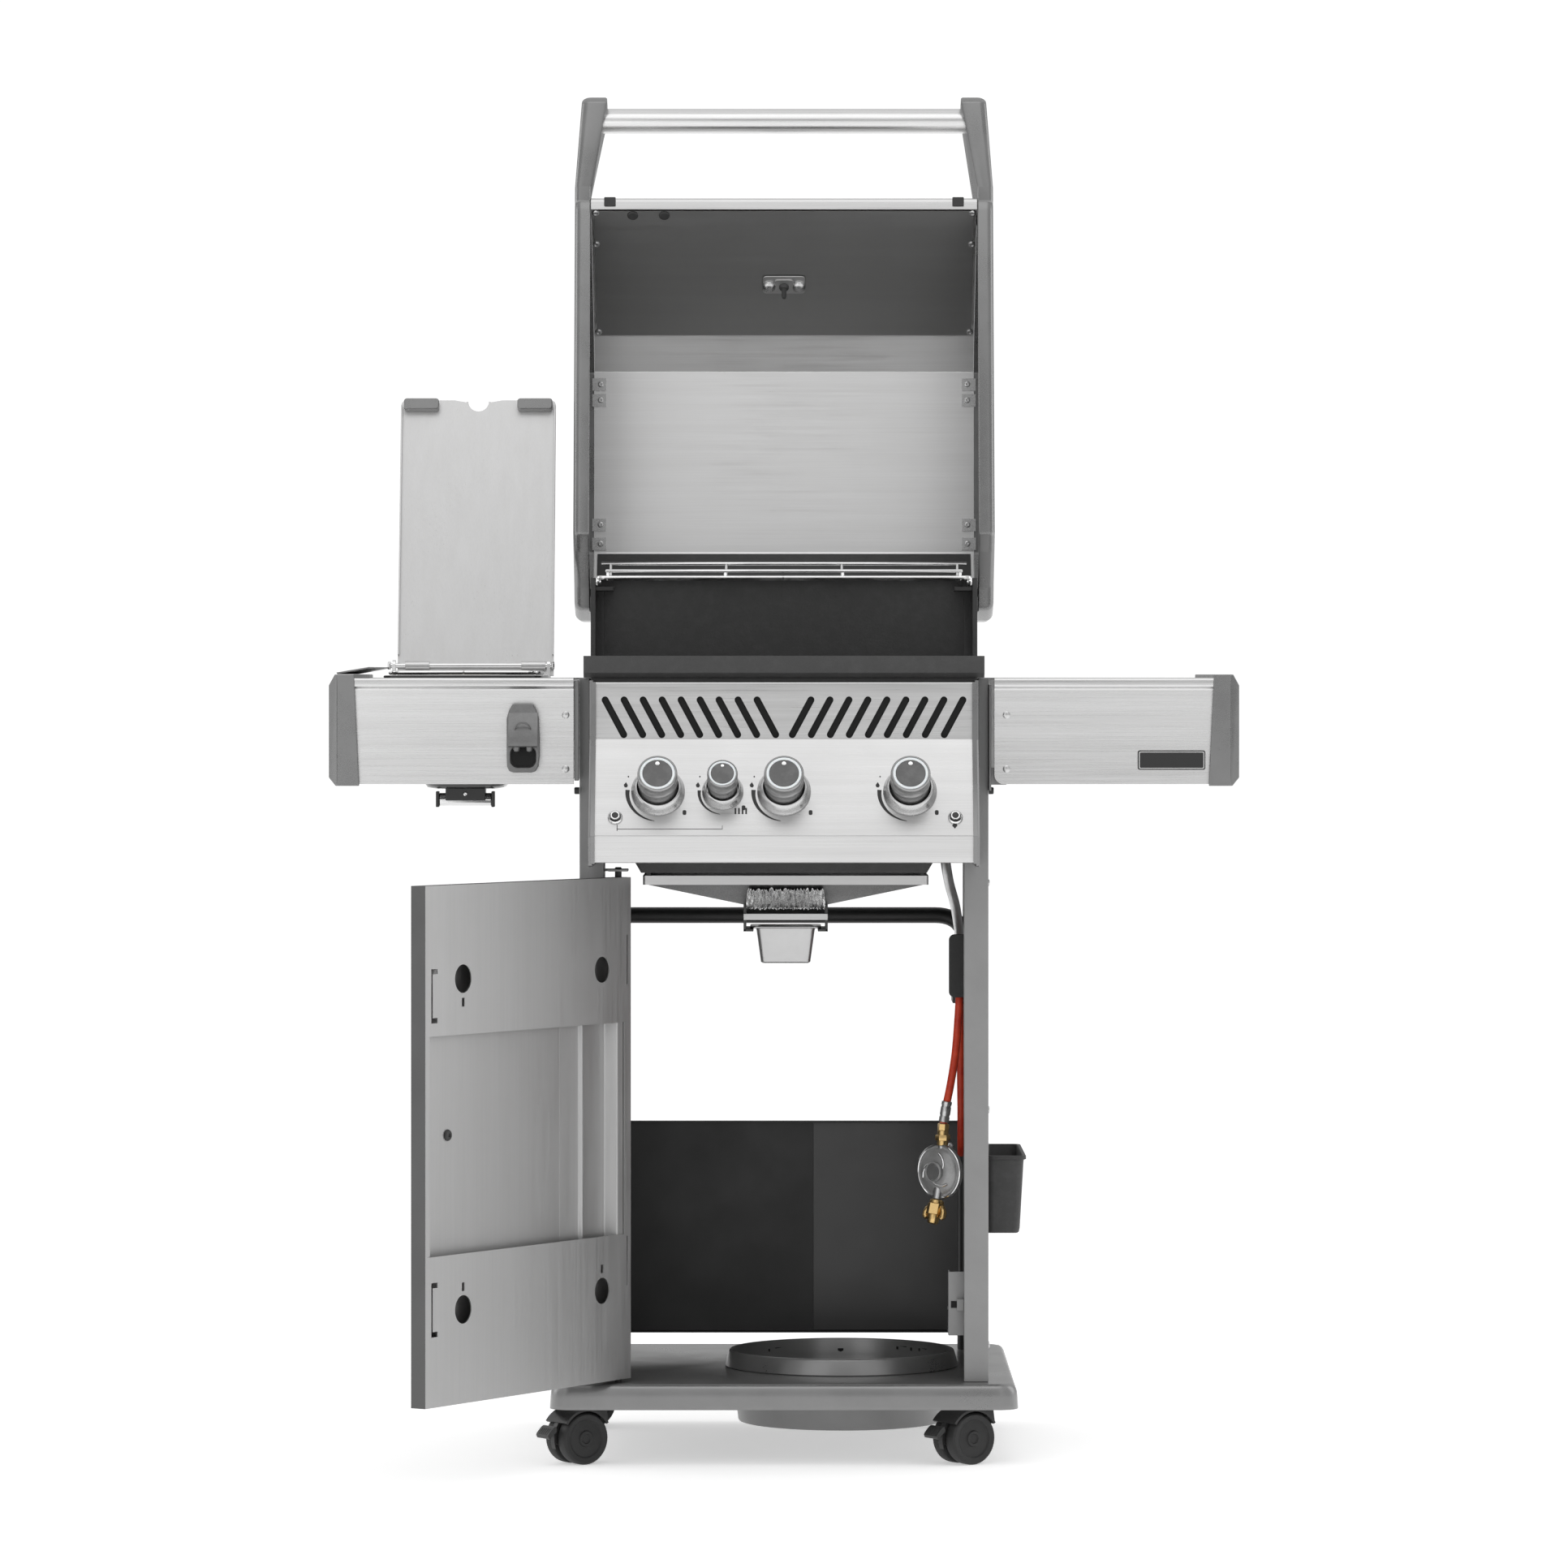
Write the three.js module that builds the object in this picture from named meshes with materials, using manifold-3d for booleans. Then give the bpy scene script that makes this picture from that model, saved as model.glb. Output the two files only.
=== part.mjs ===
// Gas barbecue grill: cabinet on casters, three-burner firebox with an opening lid, two side shelves
// (the left one with its own burner and lid), a hinged cabinet door and a gas hose with its regulator.
// Millimetres. +X to the right, +Y to the back, +Z up, floor at z = 0. Depths are counted from the
// front edge of the base, and the whole grill is then moved back so that its box is centred.
import * as THREE from 'three';
import { mergeVertices } from 'three/addons/utils/BufferGeometryUtils.js';
import Module from 'manifold-3d';

// ---------------------------------------------------------------- driving dimensions
const DEPTH_CENTRE = 178.4; // middle of the depth of the open grill
const GAP = 0.3; // between pieces that touch
const SHEET = 2; // folded sheet metal

const BASE_WIDTH = 556;
const BASE_DEPTH = 515;
const BASE_BOTTOM = 67;
const BASE_TOP = 97;
const CYLINDER_X = 70;
const CYLINDER_Y = 240;
const CYLINDER_RADIUS = 142;

const CASTER_X = 230;
const CASTER_FRONT = 48;
const CASTER_REAR = 462;
const CASTER_TRAIL = 20;
const CASTER_TURN = 35; // degrees, the way the wheels happened to be left
const WHEEL_RADIUS = 31;

const SIDE_X = 243; // outer faces of the cabinet's side panels
const POST_WIDTH = 29;
const POST_FRONT = 32;
const CABINET_BACK = 452;
const CABINET_TOP = 933.7;

const DOOR_PIVOT = [-197, 34];
const DOOR_LEFT = -209;
const DOOR_RIGHT = 212;
const DOOR_BOTTOM = 101.5;
const DOOR_TOP = 697;
const DOOR_THICKNESS = 20;
const DOOR_OPEN = 122.5;

const FIREBOX_X = 228; // outer half width below the rim
const RIM_X = 237;
const RIM_TOP = 960;
const RIM_BOTTOM = 934;
const HINGE_Y = 470;
const HINGE_Z = 1040;
const LID_OPEN = 100;
const LID_SKIN_X = 242;
const LID_OUTER_X = 262;
const BURNERS_X = [-148, 0, 148];

const PANEL_X = 225;
const BAND_TOP = [-30, 862]; // depth and height of the fold above the knobs
const BAND_BOTTOM = [-88, 749];
const PANEL_TOP = 929;
const PANEL_BOTTOM = 717;
const KNOB_HEIGHT = 800;

const SHELF_END = 539;
const SHELF_INNER = 249;
const SHELF_TOP = 934;
const APRON_BOTTOM = 808;
const SHELF_DEPTH = 440;
const SHELF_PIVOT = [258, 817];
const BURNER_LID_X = [-480, -286];
const BURNER_LID_PIVOT = [404, 949];
const BURNER_LID_LENGTH = 344;
const BURNER_LID_OPEN = 104;

const HOSE_DIAMETER = 9.5;

// ---------------------------------------------------------------- tools
const wasm = await Module();
wasm.setup();
const vec = (x, y, z) => new THREE.Vector3(x, y, z);
const rad = THREE.MathUtils.degToRad;

function solid(geometry) {
  const bare = geometry.clone();
  bare.deleteAttribute('normal');
  bare.deleteAttribute('uv');
  const merged = mergeVertices(bare, 1e-4);
  return new wasm.Manifold(new wasm.Mesh({
    numProp: 3,
    vertProperties: new Float32Array(merged.attributes.position.array),
    triVerts: new Uint32Array(merged.index.array),
  }));
}

function geometryOf(body) {
  const { vertProperties, triVerts } = body.getMesh();
  const geometry = new THREE.BufferGeometry();
  geometry.setAttribute('position', new THREE.BufferAttribute(vertProperties, 3));
  geometry.setIndex(new THREE.BufferAttribute(triVerts, 1));
  geometry.computeVertexNormals();
  return geometry;
}

const join = (...parts) => parts.reduce((a, b) => a.add(b));
const cut = (body, ...tools) => tools.reduce((a, b) => a.subtract(b), body);

function block(x0, x1, y0, y1, z0, z1) {
  const geometry = new THREE.BoxGeometry(x1 - x0, y1 - y0, z1 - z0);
  return solid(geometry.translate((x0 + x1) / 2, (y0 + y1) / 2, (z0 + z1) / 2));
}

function outline(points) {
  return new THREE.Shape(points.map(([a, b]) => new THREE.Vector2(a, b)));
}

function extruded(shape, depth, curveSegments = 5) {
  return new THREE.ExtrudeGeometry(shape, { depth, bevelEnabled: false, curveSegments });
}

// outlines in (y, z) drawn out along X, in (x, z) along Y, and in (x, y) along Z
const ALONG_X = new THREE.Matrix4().makeBasis(vec(0, 1, 0), vec(0, 0, 1), vec(1, 0, 0));
const ALONG_Y = new THREE.Matrix4().makeBasis(vec(1, 0, 0), vec(0, 0, 1), vec(0, -1, 0));
const asShape = (points) => (Array.isArray(points) ? outline(points) : points);

function prismX(points, x0, x1) {
  return solid(extruded(asShape(points), x1 - x0).applyMatrix4(ALONG_X).translate(x0, 0, 0));
}

function prismY(points, y0, y1) {
  return solid(extruded(asShape(points), y1 - y0).applyMatrix4(ALONG_Y).translate(0, y1, 0));
}

function prismZ(points, z0, z1) {
  return solid(extruded(asShape(points), z1 - z0).translate(0, 0, z0));
}

function roundedRect(x0, x1, y0, y1, r) {
  const shape = new THREE.Shape();
  shape.moveTo(x0 + r, y0);
  shape.lineTo(x1 - r, y0);
  shape.absarc(x1 - r, y0 + r, r, -Math.PI / 2, 0);
  shape.lineTo(x1, y1 - r);
  shape.absarc(x1 - r, y1 - r, r, 0, Math.PI / 2);
  shape.lineTo(x0 + r, y1);
  shape.absarc(x0 + r, y1 - r, r, Math.PI / 2, Math.PI);
  shape.lineTo(x0, y0 + r);
  shape.absarc(x0 + r, y0 + r, r, Math.PI, Math.PI * 1.5);
  return shape;
}

// a folded sheet: the line (y, z) is thickened to the left of its direction
function foldedSheet(points, thickness) {
  const left = points.map((p, i) => {
    const before = points[Math.max(i - 1, 0)];
    const after = points[Math.min(i + 1, points.length - 1)];
    const a = new THREE.Vector2(p[0] - before[0], p[1] - before[1]);
    const b = new THREE.Vector2(after[0] - p[0], after[1] - p[1]);
    if (a.length() === 0) a.copy(b);
    if (b.length() === 0) b.copy(a);
    a.normalize();
    b.normalize();
    const m = new THREE.Vector2(-a.y - b.y, a.x + b.x).normalize();
    const reach = thickness / (m.x * -a.y + m.y * a.x);
    return [p[0] + m.x * reach, p[1] + m.y * reach];
  });
  return [...points, ...left.reverse()];
}

function rod(from, to, radius, sides = 12) {
  const a = vec(...from);
  const b = vec(...to);
  const geometry = new THREE.CylinderGeometry(radius, radius, a.distanceTo(b), sides);
  const turn = new THREE.Quaternion().setFromUnitVectors(vec(0, 1, 0), b.clone().sub(a).normalize());
  const middle = a.add(b).multiplyScalar(0.5);
  return solid(geometry.applyQuaternion(turn).translate(middle.x, middle.y, middle.z));
}

function turned(profile, sides = 24) {
  const points = profile.map(([r, z]) => new THREE.Vector2(r, z));
  return solid(new THREE.LatheGeometry(points, sides).rotateX(Math.PI / 2));
}

function bentTube(points, radius, sides, steps) {
  const path = new THREE.CatmullRomCurve3(points.map((p) => vec(...p)), false, 'centripetal');
  const section = new THREE.Shape(Array.from({ length: sides }, (_, i) => {
    const angle = (i / sides) * 2 * Math.PI;
    return new THREE.Vector2(radius * Math.cos(angle), radius * Math.sin(angle));
  }));
  return solid(new THREE.ExtrudeGeometry(section, { extrudePath: path, steps }));
}

// a block whose top and bottom rectangles differ
function hopper(top, bottom, z0, z1) {
  const geometry = new THREE.BoxGeometry(1, 1, 1);
  const place = geometry.attributes.position;
  for (let i = 0; i < place.count; i += 1) {
    const [x0, x1, y0, y1] = place.getZ(i) > 0 ? top : bottom;
    const x = place.getX(i) > 0 ? x1 : x0;
    const y = place.getY(i) > 0 ? y1 : y0;
    place.setXYZ(i, x, y, place.getZ(i) > 0 ? z1 : z0);
  }
  return solid(geometry);
}

const paint = (color, roughness, metalness) =>
  new THREE.MeshStandardMaterial({ color, roughness, metalness });
const steel = () => paint(0xc9c9c7, 0.35, 1);
const greyPaint = () => paint(0x77787a, 0.5, 0.3);
const blackPaint = () => paint(0x26272a, 0.55, 0.2);
const castGrey = () => paint(0x5f6163, 0.55, 0.4);
const chrome = () => paint(0xe2e2e2, 0.12, 1);
const enamel = () => paint(0x1c1c1d, 0.6, 0.2);
const blackPlastic = () => paint(0x1e1f21, 0.6, 0);
const brass = () => paint(0xb98a3c, 0.35, 1);
const redRubber = () => paint(0xb02418, 0.6, 0);

const grill = new THREE.Group();
grill.position.set(0, -DEPTH_CENTRE, 0);

function add(group, name, body, material) {
  const mesh = new THREE.Mesh(geometryOf(body), material);
  mesh.name = name;
  group.add(mesh);
  return mesh;
}

// ---------------------------------------------------------------- base, casters
const casters = [
  ['front_left', -CASTER_X, CASTER_FRONT],
  ['front_right', CASTER_X, CASTER_FRONT],
  ['rear_left', -CASTER_X, CASTER_REAR],
  ['rear_right', CASTER_X, CASTER_REAR],
];

function baseTray() {
  const half = BASE_WIDTH / 2;
  const flare = 5;
  const outer = extruded(roundedRect(-half, half, 0, BASE_DEPTH, 18), BASE_TOP - BASE_BOTTOM);
  const place = outer.attributes.position;
  for (let i = 0; i < place.count; i += 1) {
    if (place.getZ(i) > 1) place.setX(i, place.getX(i) * (1 - flare / half));
  }
  const inner = prismZ(roundedRect(-half + 8, half - 8, 3, BASE_DEPTH - 3, 15), 0, BASE_TOP - 3);
  let tray = cut(solid(outer.translate(0, 0, BASE_BOTTOM)), inner);
  const r = CYLINDER_RADIUS;
  const panOuter = turned([[0, 30], [r - 17, 30], [r - 8, 96], [r, 97], [r - 5, 117], [0, 117]], 24);
  const panInner = turned([[0, 33], [r - 20, 33], [r - 11, 97], [r - 9, 118], [0, 118]], 24);
  tray = cut(join(tray, panOuter.translate(CYLINDER_X, CYLINDER_Y, 0)),
    panInner.translate(CYLINDER_X, CYLINDER_Y, 0));
  for (const [, x, y] of casters) {
    tray = cut(join(tray, rod([x, y, BASE_BOTTOM], [x, y, BASE_TOP - 1], 12)),
      rod([x, y, BASE_BOTTOM - 1], [x, y, 90], 5.8));
  }
  const [px, py] = DOOR_PIVOT;
  return cut(tray, rod([px, py, 80], [px, py, 110], 4.6));
}

function casterFork() {
  const hood = new THREE.Shape();
  hood.moveTo(-32, 26);
  hood.lineTo(-28, 50);
  hood.quadraticCurveTo(-20, 62, 0, 64);
  hood.lineTo(34, 64);
  hood.quadraticCurveTo(40, 58, 36, 46);
  hood.lineTo(22, 30);
  hood.lineTo(14, 22);
  hood.lineTo(-18, 20);
  const web = prismY(hood, -4, 4);
  const cap = prismY([[15, 60.5], [21, 56], [26.5, 50], [30, 44], [36, 50], [33, 65.5], [20, 65.5]], -12, 12);
  const stem = rod([CASTER_TRAIL, 0, 60], [CASTER_TRAIL, 0, 88], 5);
  const axleHole = rod([0, -10, WHEEL_RADIUS], [0, 10, WHEEL_RADIUS], 5.6);
  return cut(join(web, cap, stem), axleHole);
}

function casterWheels() {
  const profile = [[0, -22], [WHEEL_RADIUS - 3, -22], [WHEEL_RADIUS, -19], [WHEEL_RADIUS, -5],
    [5, -5], [5, 5], [WHEEL_RADIUS, 5], [WHEEL_RADIUS, 19], [WHEEL_RADIUS - 3, 22], [0, 22]];
  const points = profile.map(([r, z]) => new THREE.Vector2(r, z));
  return solid(new THREE.LatheGeometry(points, 20));
}

function casterBrake() {
  const lever = [[-46, 36], [-40, 44], [-34.5, 47], [-33.2, 41], [-40, 36], [-43, 32]];
  return prismY(lever, -13, 13);
}

function addCasters() {
  const cornerRadius = 3.2;
  for (const [name, x, y] of casters) {
    const group = new THREE.Group();
    const turn = rad(CASTER_TURN);
    group.rotation.z = turn;
    group.position.set(x - CASTER_TRAIL * Math.cos(turn), y - CASTER_TRAIL * Math.sin(turn), 0);
    grill.add(group);
    add(group, `${name}_caster`, casterFork(), blackPlastic());
    const wheels = add(group, `${name}_wheels`, casterWheels(), blackPlastic());
    wheels.position.z = WHEEL_RADIUS;
    if (name.startsWith('front')) {
      const brake = add(group, `${name}_brake`, casterBrake(), blackPlastic());
      brake.position.x = -cornerRadius;
    }
  }
}

// ---------------------------------------------------------------- cabinet
function sidePanel(side) {
  const inner = SIDE_X - SHEET;
  const post = SIDE_X - POST_WIDTH;
  const section = [[post, POST_FRONT], [SIDE_X, POST_FRONT], [SIDE_X, CABINET_BACK],
    [SIDE_X - 20, CABINET_BACK], [SIDE_X - 20, CABINET_BACK - SHEET], [inner, CABINET_BACK - SHEET],
    [inner, POST_FRONT + 24], [post + SHEET, POST_FRONT + 24], [post + SHEET, POST_FRONT + 24 - SHEET],
    [inner, POST_FRONT + 24 - SHEET], [inner, POST_FRONT + SHEET],
    [post + SHEET, POST_FRONT + SHEET], [post + SHEET, POST_FRONT + 24], [post, POST_FRONT + 24]];
  const simple = [...section.slice(0, 6), [inner, POST_FRONT + SHEET],
    [post + SHEET, POST_FRONT + SHEET], [post + SHEET, POST_FRONT + 18], [post, POST_FRONT + 18]];
  let panel = prismZ(simple, BASE_TOP + GAP, CABINET_TOP);
  panel = cut(panel, block(post - 5, FIREBOX_X + 3, 0, 200, PANEL_BOTTOM, CABINET_TOP + 5));
  if (side < 0) {
    const [px, py] = DOOR_PIVOT;
    const tab = block(-px - 12, inner + 1, py - 2 + 5, py + 16, 704, 707);
    const ear = block(-px - 12, -px + 12, py - 12, py + 16, 704, 707);
    panel = cut(join(panel, tab, ear), rod([-px, py, 700], [-px, py, 712], 4.6));
    return solid(mirrorX(geometryOf(panel)));
  }
  return panel;
}

function mirrorX(geometry) {
  const flipped = geometry.clone().scale(-1, 1, 1);
  const index = flipped.index.array;
  for (let i = 0; i < index.length; i += 3) [index[i], index[i + 1]] = [index[i + 1], index[i]];
  return flipped;
}

function rearFrame() {
  const x = 226;
  const y = 438;
  const top = 638;
  const r = 38;
  const left = [[-x, y, BASE_TOP + GAP], [-x, y, 300], [-x, y, top - r], [-x + r * 0.3, y, top - r * 0.3]];
  const right = left.map(([a, b, c]) => [-a, b, c]).reverse();
  const crossbar = [[-x + r, y, top], [0, y, top], [x - r, y, top]];
  return bentTube([...left, ...crossbar, ...right], 10, 10, 36);
}

function rearPanel() {
  const x = 217;
  const sheet = foldedSheet([[412, 120], [425, 120], [425, 383], [412, 383]], SHEET);
  return prismX(sheet, -x, x);
}

function doorCatch() {
  const plate = block(196, SIDE_X - SHEET - GAP, 58, 60, 150, 226);
  return join(plate, block(196, 198, 58, 84, 150, 226), block(206, 214, 50, 59, 180, 194));
}

function hoseHook() {
  const y = 178;
  const z = 548;
  const saddle = new THREE.Shape();
  saddle.moveTo(y - 34, z - 6);
  saddle.lineTo(y + 34, z - 6);
  saddle.lineTo(y + 34, z);
  saddle.absarc(y, z, 34, 0, Math.PI);
  const plate = prismY(roundedRect(198, 222, 550, 626, 7), 121, 124);
  return join(prismX(saddle, 203, SIDE_X - SHEET - GAP), plate, block(217.5, SIDE_X - SHEET - GAP, 122, y, 552, 562));
}

function sideBasket() {
  const outer = hopper([SIDE_X + 2, 290, 150, 362], [SIDE_X + 2, 284, 156, 356], 264, 358);
  const lip = block(SIDE_X + 2, 292, 148, 364, 354, 358);
  const inner = hopper([SIDE_X + 5, 287, 153, 359], [SIDE_X + 5, 281, 159, 353], 267, 360);
  const back = block(SIDE_X + 2, SIDE_X + 5, 156, 356, 350, 370);
  return cut(join(outer, lip, back), inner);
}

// ---------------------------------------------------------------- door
function doorPanel() {
  const [px, py] = DOOR_PIVOT;
  const front = -DOOR_THICKNESS / 2;
  const back = DOOR_THICKNESS / 2;
  const x0 = DOOR_LEFT - px;
  const x1 = DOOR_RIGHT - px;
  const shell = block(x0, x1, front, back, DOOR_BOTTOM, DOOR_TOP);
  const upper = DOOR_TOP - 172;
  const lower = DOOR_BOTTOM + 172;
  const recess = block(x0 + 16, x1 - 8, front + SHEET, back + 1, lower, upper);
  const hollowTop = block(x0 + 3, x1 - 3, front + SHEET, back - SHEET, upper - 1, DOOR_TOP - 3);
  const hollowBottom = block(x0 + 3, x1 - 3, front + SHEET, back - SHEET, DOOR_BOTTOM + 3, lower + 1);
  const holes = [];
  for (const x of [49, 334]) {
    for (const z of [DOOR_BOTTOM + 108, DOOR_TOP - 108]) {
      holes.push(rod([x, back - 4, z], [x, back + 2, z], x > 200 ? 14 : 12, 12));
    }
  }
  const pins = join(rod([0, 0, DOOR_BOTTOM - 8], [0, 0, DOOR_BOTTOM + 6], 4, 12),
    rod([0, 0, DOOR_TOP - 6], [0, 0, DOOR_TOP + 12], 4, 12));
  return join(cut(shell, recess, hollowTop, hollowBottom, ...holes), pins);
}

function doorHandle() {
  const x = DOOR_RIGHT - DOOR_PIVOT[0] - 73;
  const y = -DOOR_THICKNESS / 2;
  const grip = rod([x, y - 34, 300], [x, y - 34, 500], 10);
  const feet = [322, 478].map((z) => rod([x, y - 34, z], [x, y - GAP, z], 7));
  return join(grip, ...feet);
}

function addDoor() {
  const group = new THREE.Group();
  group.position.set(DOOR_PIVOT[0], DOOR_PIVOT[1], 0);
  group.rotation.z = -rad(DOOR_OPEN);
  grill.add(group);
  add(group, 'door_panel', doorPanel(), steel());
  add(group, 'door_handle', doorHandle(), steel());
}

// ---------------------------------------------------------------- firebox and burners
function firebox() {
  const x = FIREBOX_X;
  const wall = 5;
  const tub = [[-6, RIM_TOP], [-6, 858], [40, 786], [40, 702], [420, 702], [420, 786], [448, 830],
    [448, RIM_TOP]];
  const hollow = [[-1, RIM_TOP + 5], [-1, 859], [46, 788], [46, 700], [414, 700], [414, 788],
    [443, 831], [443, RIM_TOP + 5]];
  let body = prismX(tub, -x, x);
  const rim = prismX([[-16, RIM_TOP], [-16, RIM_BOTTOM + 6], [-10, RIM_BOTTOM], [-3, RIM_BOTTOM],
    [-3, RIM_TOP]], -RIM_X, RIM_X);
  const sideRims = [-1, 1].map((s) => block(Math.min(s * RIM_X, s * (x - 2)),
    Math.max(s * RIM_X, s * (x - 2)), -10, 448, RIM_BOTTOM, RIM_TOP));
  body = join(body, rim, ...sideRims);
  body = cut(body, prismX(hollow, -x + wall, x - wall));
  for (const s of [-1, 1]) {
    const wedge = [[s * (x + 2), 700], [s * (x + 2), 802], [s * x, 800], [s * 170, 706], [s * 170, 700]];
    const plate = [[s * x, 800], [s * (x - wall), 803], [s * 165, 706], [s * 165, 702],
      [s * 170, 702]];
    const order = (points) => (s > 0 ? points : [...points].reverse());
    body = cut(body, prismY(order(wedge), 0, 460));
    body = join(body, prismY(order(plate), 41, 419));
  }
  const backWall = block(-x + 1, x - 1, 443, 448, RIM_TOP - 10, 1056);
  const ear = [[400, RIM_TOP - 4], [448, RIM_TOP - 4], [484, 1026], [484, 1052], [468, 1058],
    [404, 1058]];
  const ears = [[-240, -234], [234, 240]].map(([a, b]) => prismX(ear, a, b));
  const webs = [[-238, -x + 4], [x - 4, 238]].map(([a, b]) => block(a, b, 440, 448, RIM_TOP - 4, 1056));
  const pins = [[-258, -236], [236, 258]].map(([a, b]) => rod([a, HINGE_Y, HINGE_Z], [b, HINGE_Y, HINGE_Z], 5));
  const pads = [[-235, -212], [212, 235]].map(([a, b]) => block(a, b, 408, 444, 1042, 1047));
  body = join(body, backWall, ...ears, ...webs, ...pins, ...pads);
  for (const bx of BURNERS_X) body = cut(body, rod([bx, -10, 822], [bx, 50, 822], 16));
  const ledges = [[-x + 4, -x + 14], [x - 14, x - 4]].map(([a, b]) => block(a, b, 2, 444, 918, 922));
  return join(body, ...ledges);
}

function burner(x) {
  const tube = rod([x, 5, 822], [x, 424, 822], 14, 12);
  const intake = rod([x, 2, 822], [x, 30, 822], 10, 12);
  return cut(join(tube, intake), rod([x, 1, 822], [x, 410, 822], 8, 8));
}

function flameTamer(x) {
  const sheet = foldedSheet([[x - 34, 852], [x, 884], [x + 34, 852]], SHEET);
  return prismY(sheet, 4, 438);
}

function cookingGrid(x0, x1) {
  const bars = 8;
  const pitch = (x1 - x0 - 10) / bars;
  const slots = [];
  for (let i = 0; i < bars; i += 1) {
    const left = x0 + 5 + i * pitch + 4.5;
    const right = left + pitch - 9;
    slots.push(block(left, right, 12, 222, 920, 940), block(left, right, 230, 431, 920, 940));
  }
  return cut(prismZ(roundedRect(x0, x1, 3, 440, 5), 922 + GAP, 932), ...slots);
}

function warmingRack() {
  const x = 231;
  const bars = 6;
  const pitch = 132 / bars;
  const slots = [];
  for (let i = 0; i < bars; i += 1) {
    const y0 = 304 + i * pitch + 2;
    for (const [a, b] of [[-x + 4, -74], [-70, 70], [74, x - 4]]) {
      slots.push(block(a, b, y0, y0 + pitch - 4, 1040, 1060));
    }
  }
  const plate = cut(prismZ(roundedRect(-x, x, 300, 440, 4), 1047 + GAP, 1052), ...slots);
  const fence = join(prismY([[-x, 1050], [x, 1050], [x, 1054], [-x, 1054]], 438, 440).translate(0, 0, 10),
    ...[-x + 4, -74, 70, x - 4].map((a) => block(a - 2, a + 2, 437, 440, 1050, 1078)),
    block(-x + 2, x - 2, 437, 440, 1074, 1078));
  return join(plate, fence);
}

// ---------------------------------------------------------------- lid
const LIP = [-492, -77];
const LID_LINE = [[-474, -77], LIP, [-355, 110], [-313, 135], [-83, 166], [8, 122], [22, 40]];
const GAUGE = [-412, 32];
const FRONT_ANGLE = Math.atan2(110 + 77, -355 + 492);
const OUTWARD = [-Math.sin(FRONT_ANGLE), Math.cos(FRONT_ANGLE)];

function gaugeAxis(from, to) {
  const at = (s) => [0, GAUGE[0] + OUTWARD[0] * s, GAUGE[1] + OUTWARD[1] * s];
  return [at(from), at(to)];
}

function lidSkin() {
  const skin = prismX(foldedSheet(LID_LINE, -SHEET), -LID_SKIN_X, LID_SKIN_X);
  return cut(skin, rod(...gaugeAxis(-20, 20), 12));
}

function lidLiner() {
  const depth = 12;
  const inset = (p) => [p[0] - OUTWARD[0] * depth, p[1] - OUTWARD[1] * depth];
  const along = [Math.cos(FRONT_ANGLE), Math.sin(FRONT_ANGLE)];
  const a = inset(LIP);
  const start = [a[0] + along[0] * 14, a[1] + along[1] * 14];
  const end = inset([-355 - along[0] * 10, 110 - along[1] * 10]);
  const liner = prismX(foldedSheet([start, end], -SHEET), -LID_SKIN_X + 4, LID_SKIN_X - 4);
  return cut(liner, rod(...gaugeAxis(-40, 20), 12));
}

function temperatureGauge() {
  const body = rod(...gaugeAxis(GAP, 22), 36, 20);
  const stem = rod(...gaugeAxis(-16 - GAP, 2), 9, 12);
  const probe = rod(...gaugeAxis(-54, -14), 3, 8);
  const bracket = rod(...gaugeAxis(-20, -14 - GAP - 0.5), 17, 12);
  return join(body, stem, probe, bracket);
}

function lidSide(side) {
  const edge = [[-500, -80], [-358, 114], [-315, 141], [-82, 172], [14, 127], [28, 40], [22, -6],
    [-2, -22], [-40, -62], [-60, -78]];
  const inner = [[-484, -74], [-350, 106], [-311, 134], [-83, 165], [8, 122], [21, 40], [16, -1],
    [-6, -15], [-44, -56], [-62, -72]];
  const rim = cut(prismX(edge, LID_SKIN_X + GAP, LID_OUTER_X), prismX(inner, LID_SKIN_X - 1, LID_OUTER_X - 4));
  const boss = rod([LID_SKIN_X + GAP, 0, 0], [LID_OUTER_X - 3, 0, 0], 12);
  let casting = cut(join(rim, boss), rod([LID_SKIN_X - 5, 0, 0], [LID_OUTER_X - 3, 0, 0], 5.8));
  const root = prismX([[-502.5, -79.7], [-484, -79], [-455, -40], [-502.5, -38.6]],
    LID_SKIN_X + GAP, LID_OUTER_X);
  const arm = extruded(outline([[-620, -72], [-612, -84], [-502, -79.7], [-502, -38.6], [-598, -36],
    [-617, -46]].reverse()), LID_OUTER_X - LID_SKIN_X - GAP);
  arm.applyMatrix4(ALONG_X).translate(LID_SKIN_X + GAP, 0, 0);
  const place = arm.attributes.position;
  for (let i = 0; i < place.count; i += 1) {
    const reach = THREE.MathUtils.clamp((-502.5 - place.getY(i)) / 90, 0, 1);
    const shift = place.getX(i) > LID_OUTER_X - 5 ? 8 : 20;
    place.setX(i, place.getX(i) - shift * reach);
  }
  const socket = rod([212, -590, -60], [236, -590, -60], 14.8);
  casting = cut(join(casting, root, solid(arm)), socket);
  return side > 0 ? casting : solid(mirrorX(geometryOf(casting)));
}

function lidHandle() {
  const tube = rod([-235, -590, -60], [235, -590, -60], 14.3, 20);
  return tube;
}

function addLid() {
  const group = new THREE.Group();
  group.position.set(0, HINGE_Y, HINGE_Z);
  group.rotation.x = -rad(LID_OPEN);
  grill.add(group);
  add(group, 'lid_left_side', lidSide(-1), castGrey());
  add(group, 'lid_right_side', lidSide(1), castGrey());
  add(group, 'lid_skin', lidSkin(), steel());
  add(group, 'lid_liner', lidLiner(), steel());
  add(group, 'lid_handle', lidHandle(), steel());
  add(group, 'temperature_gauge', temperatureGauge(), chrome());
}

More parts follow.
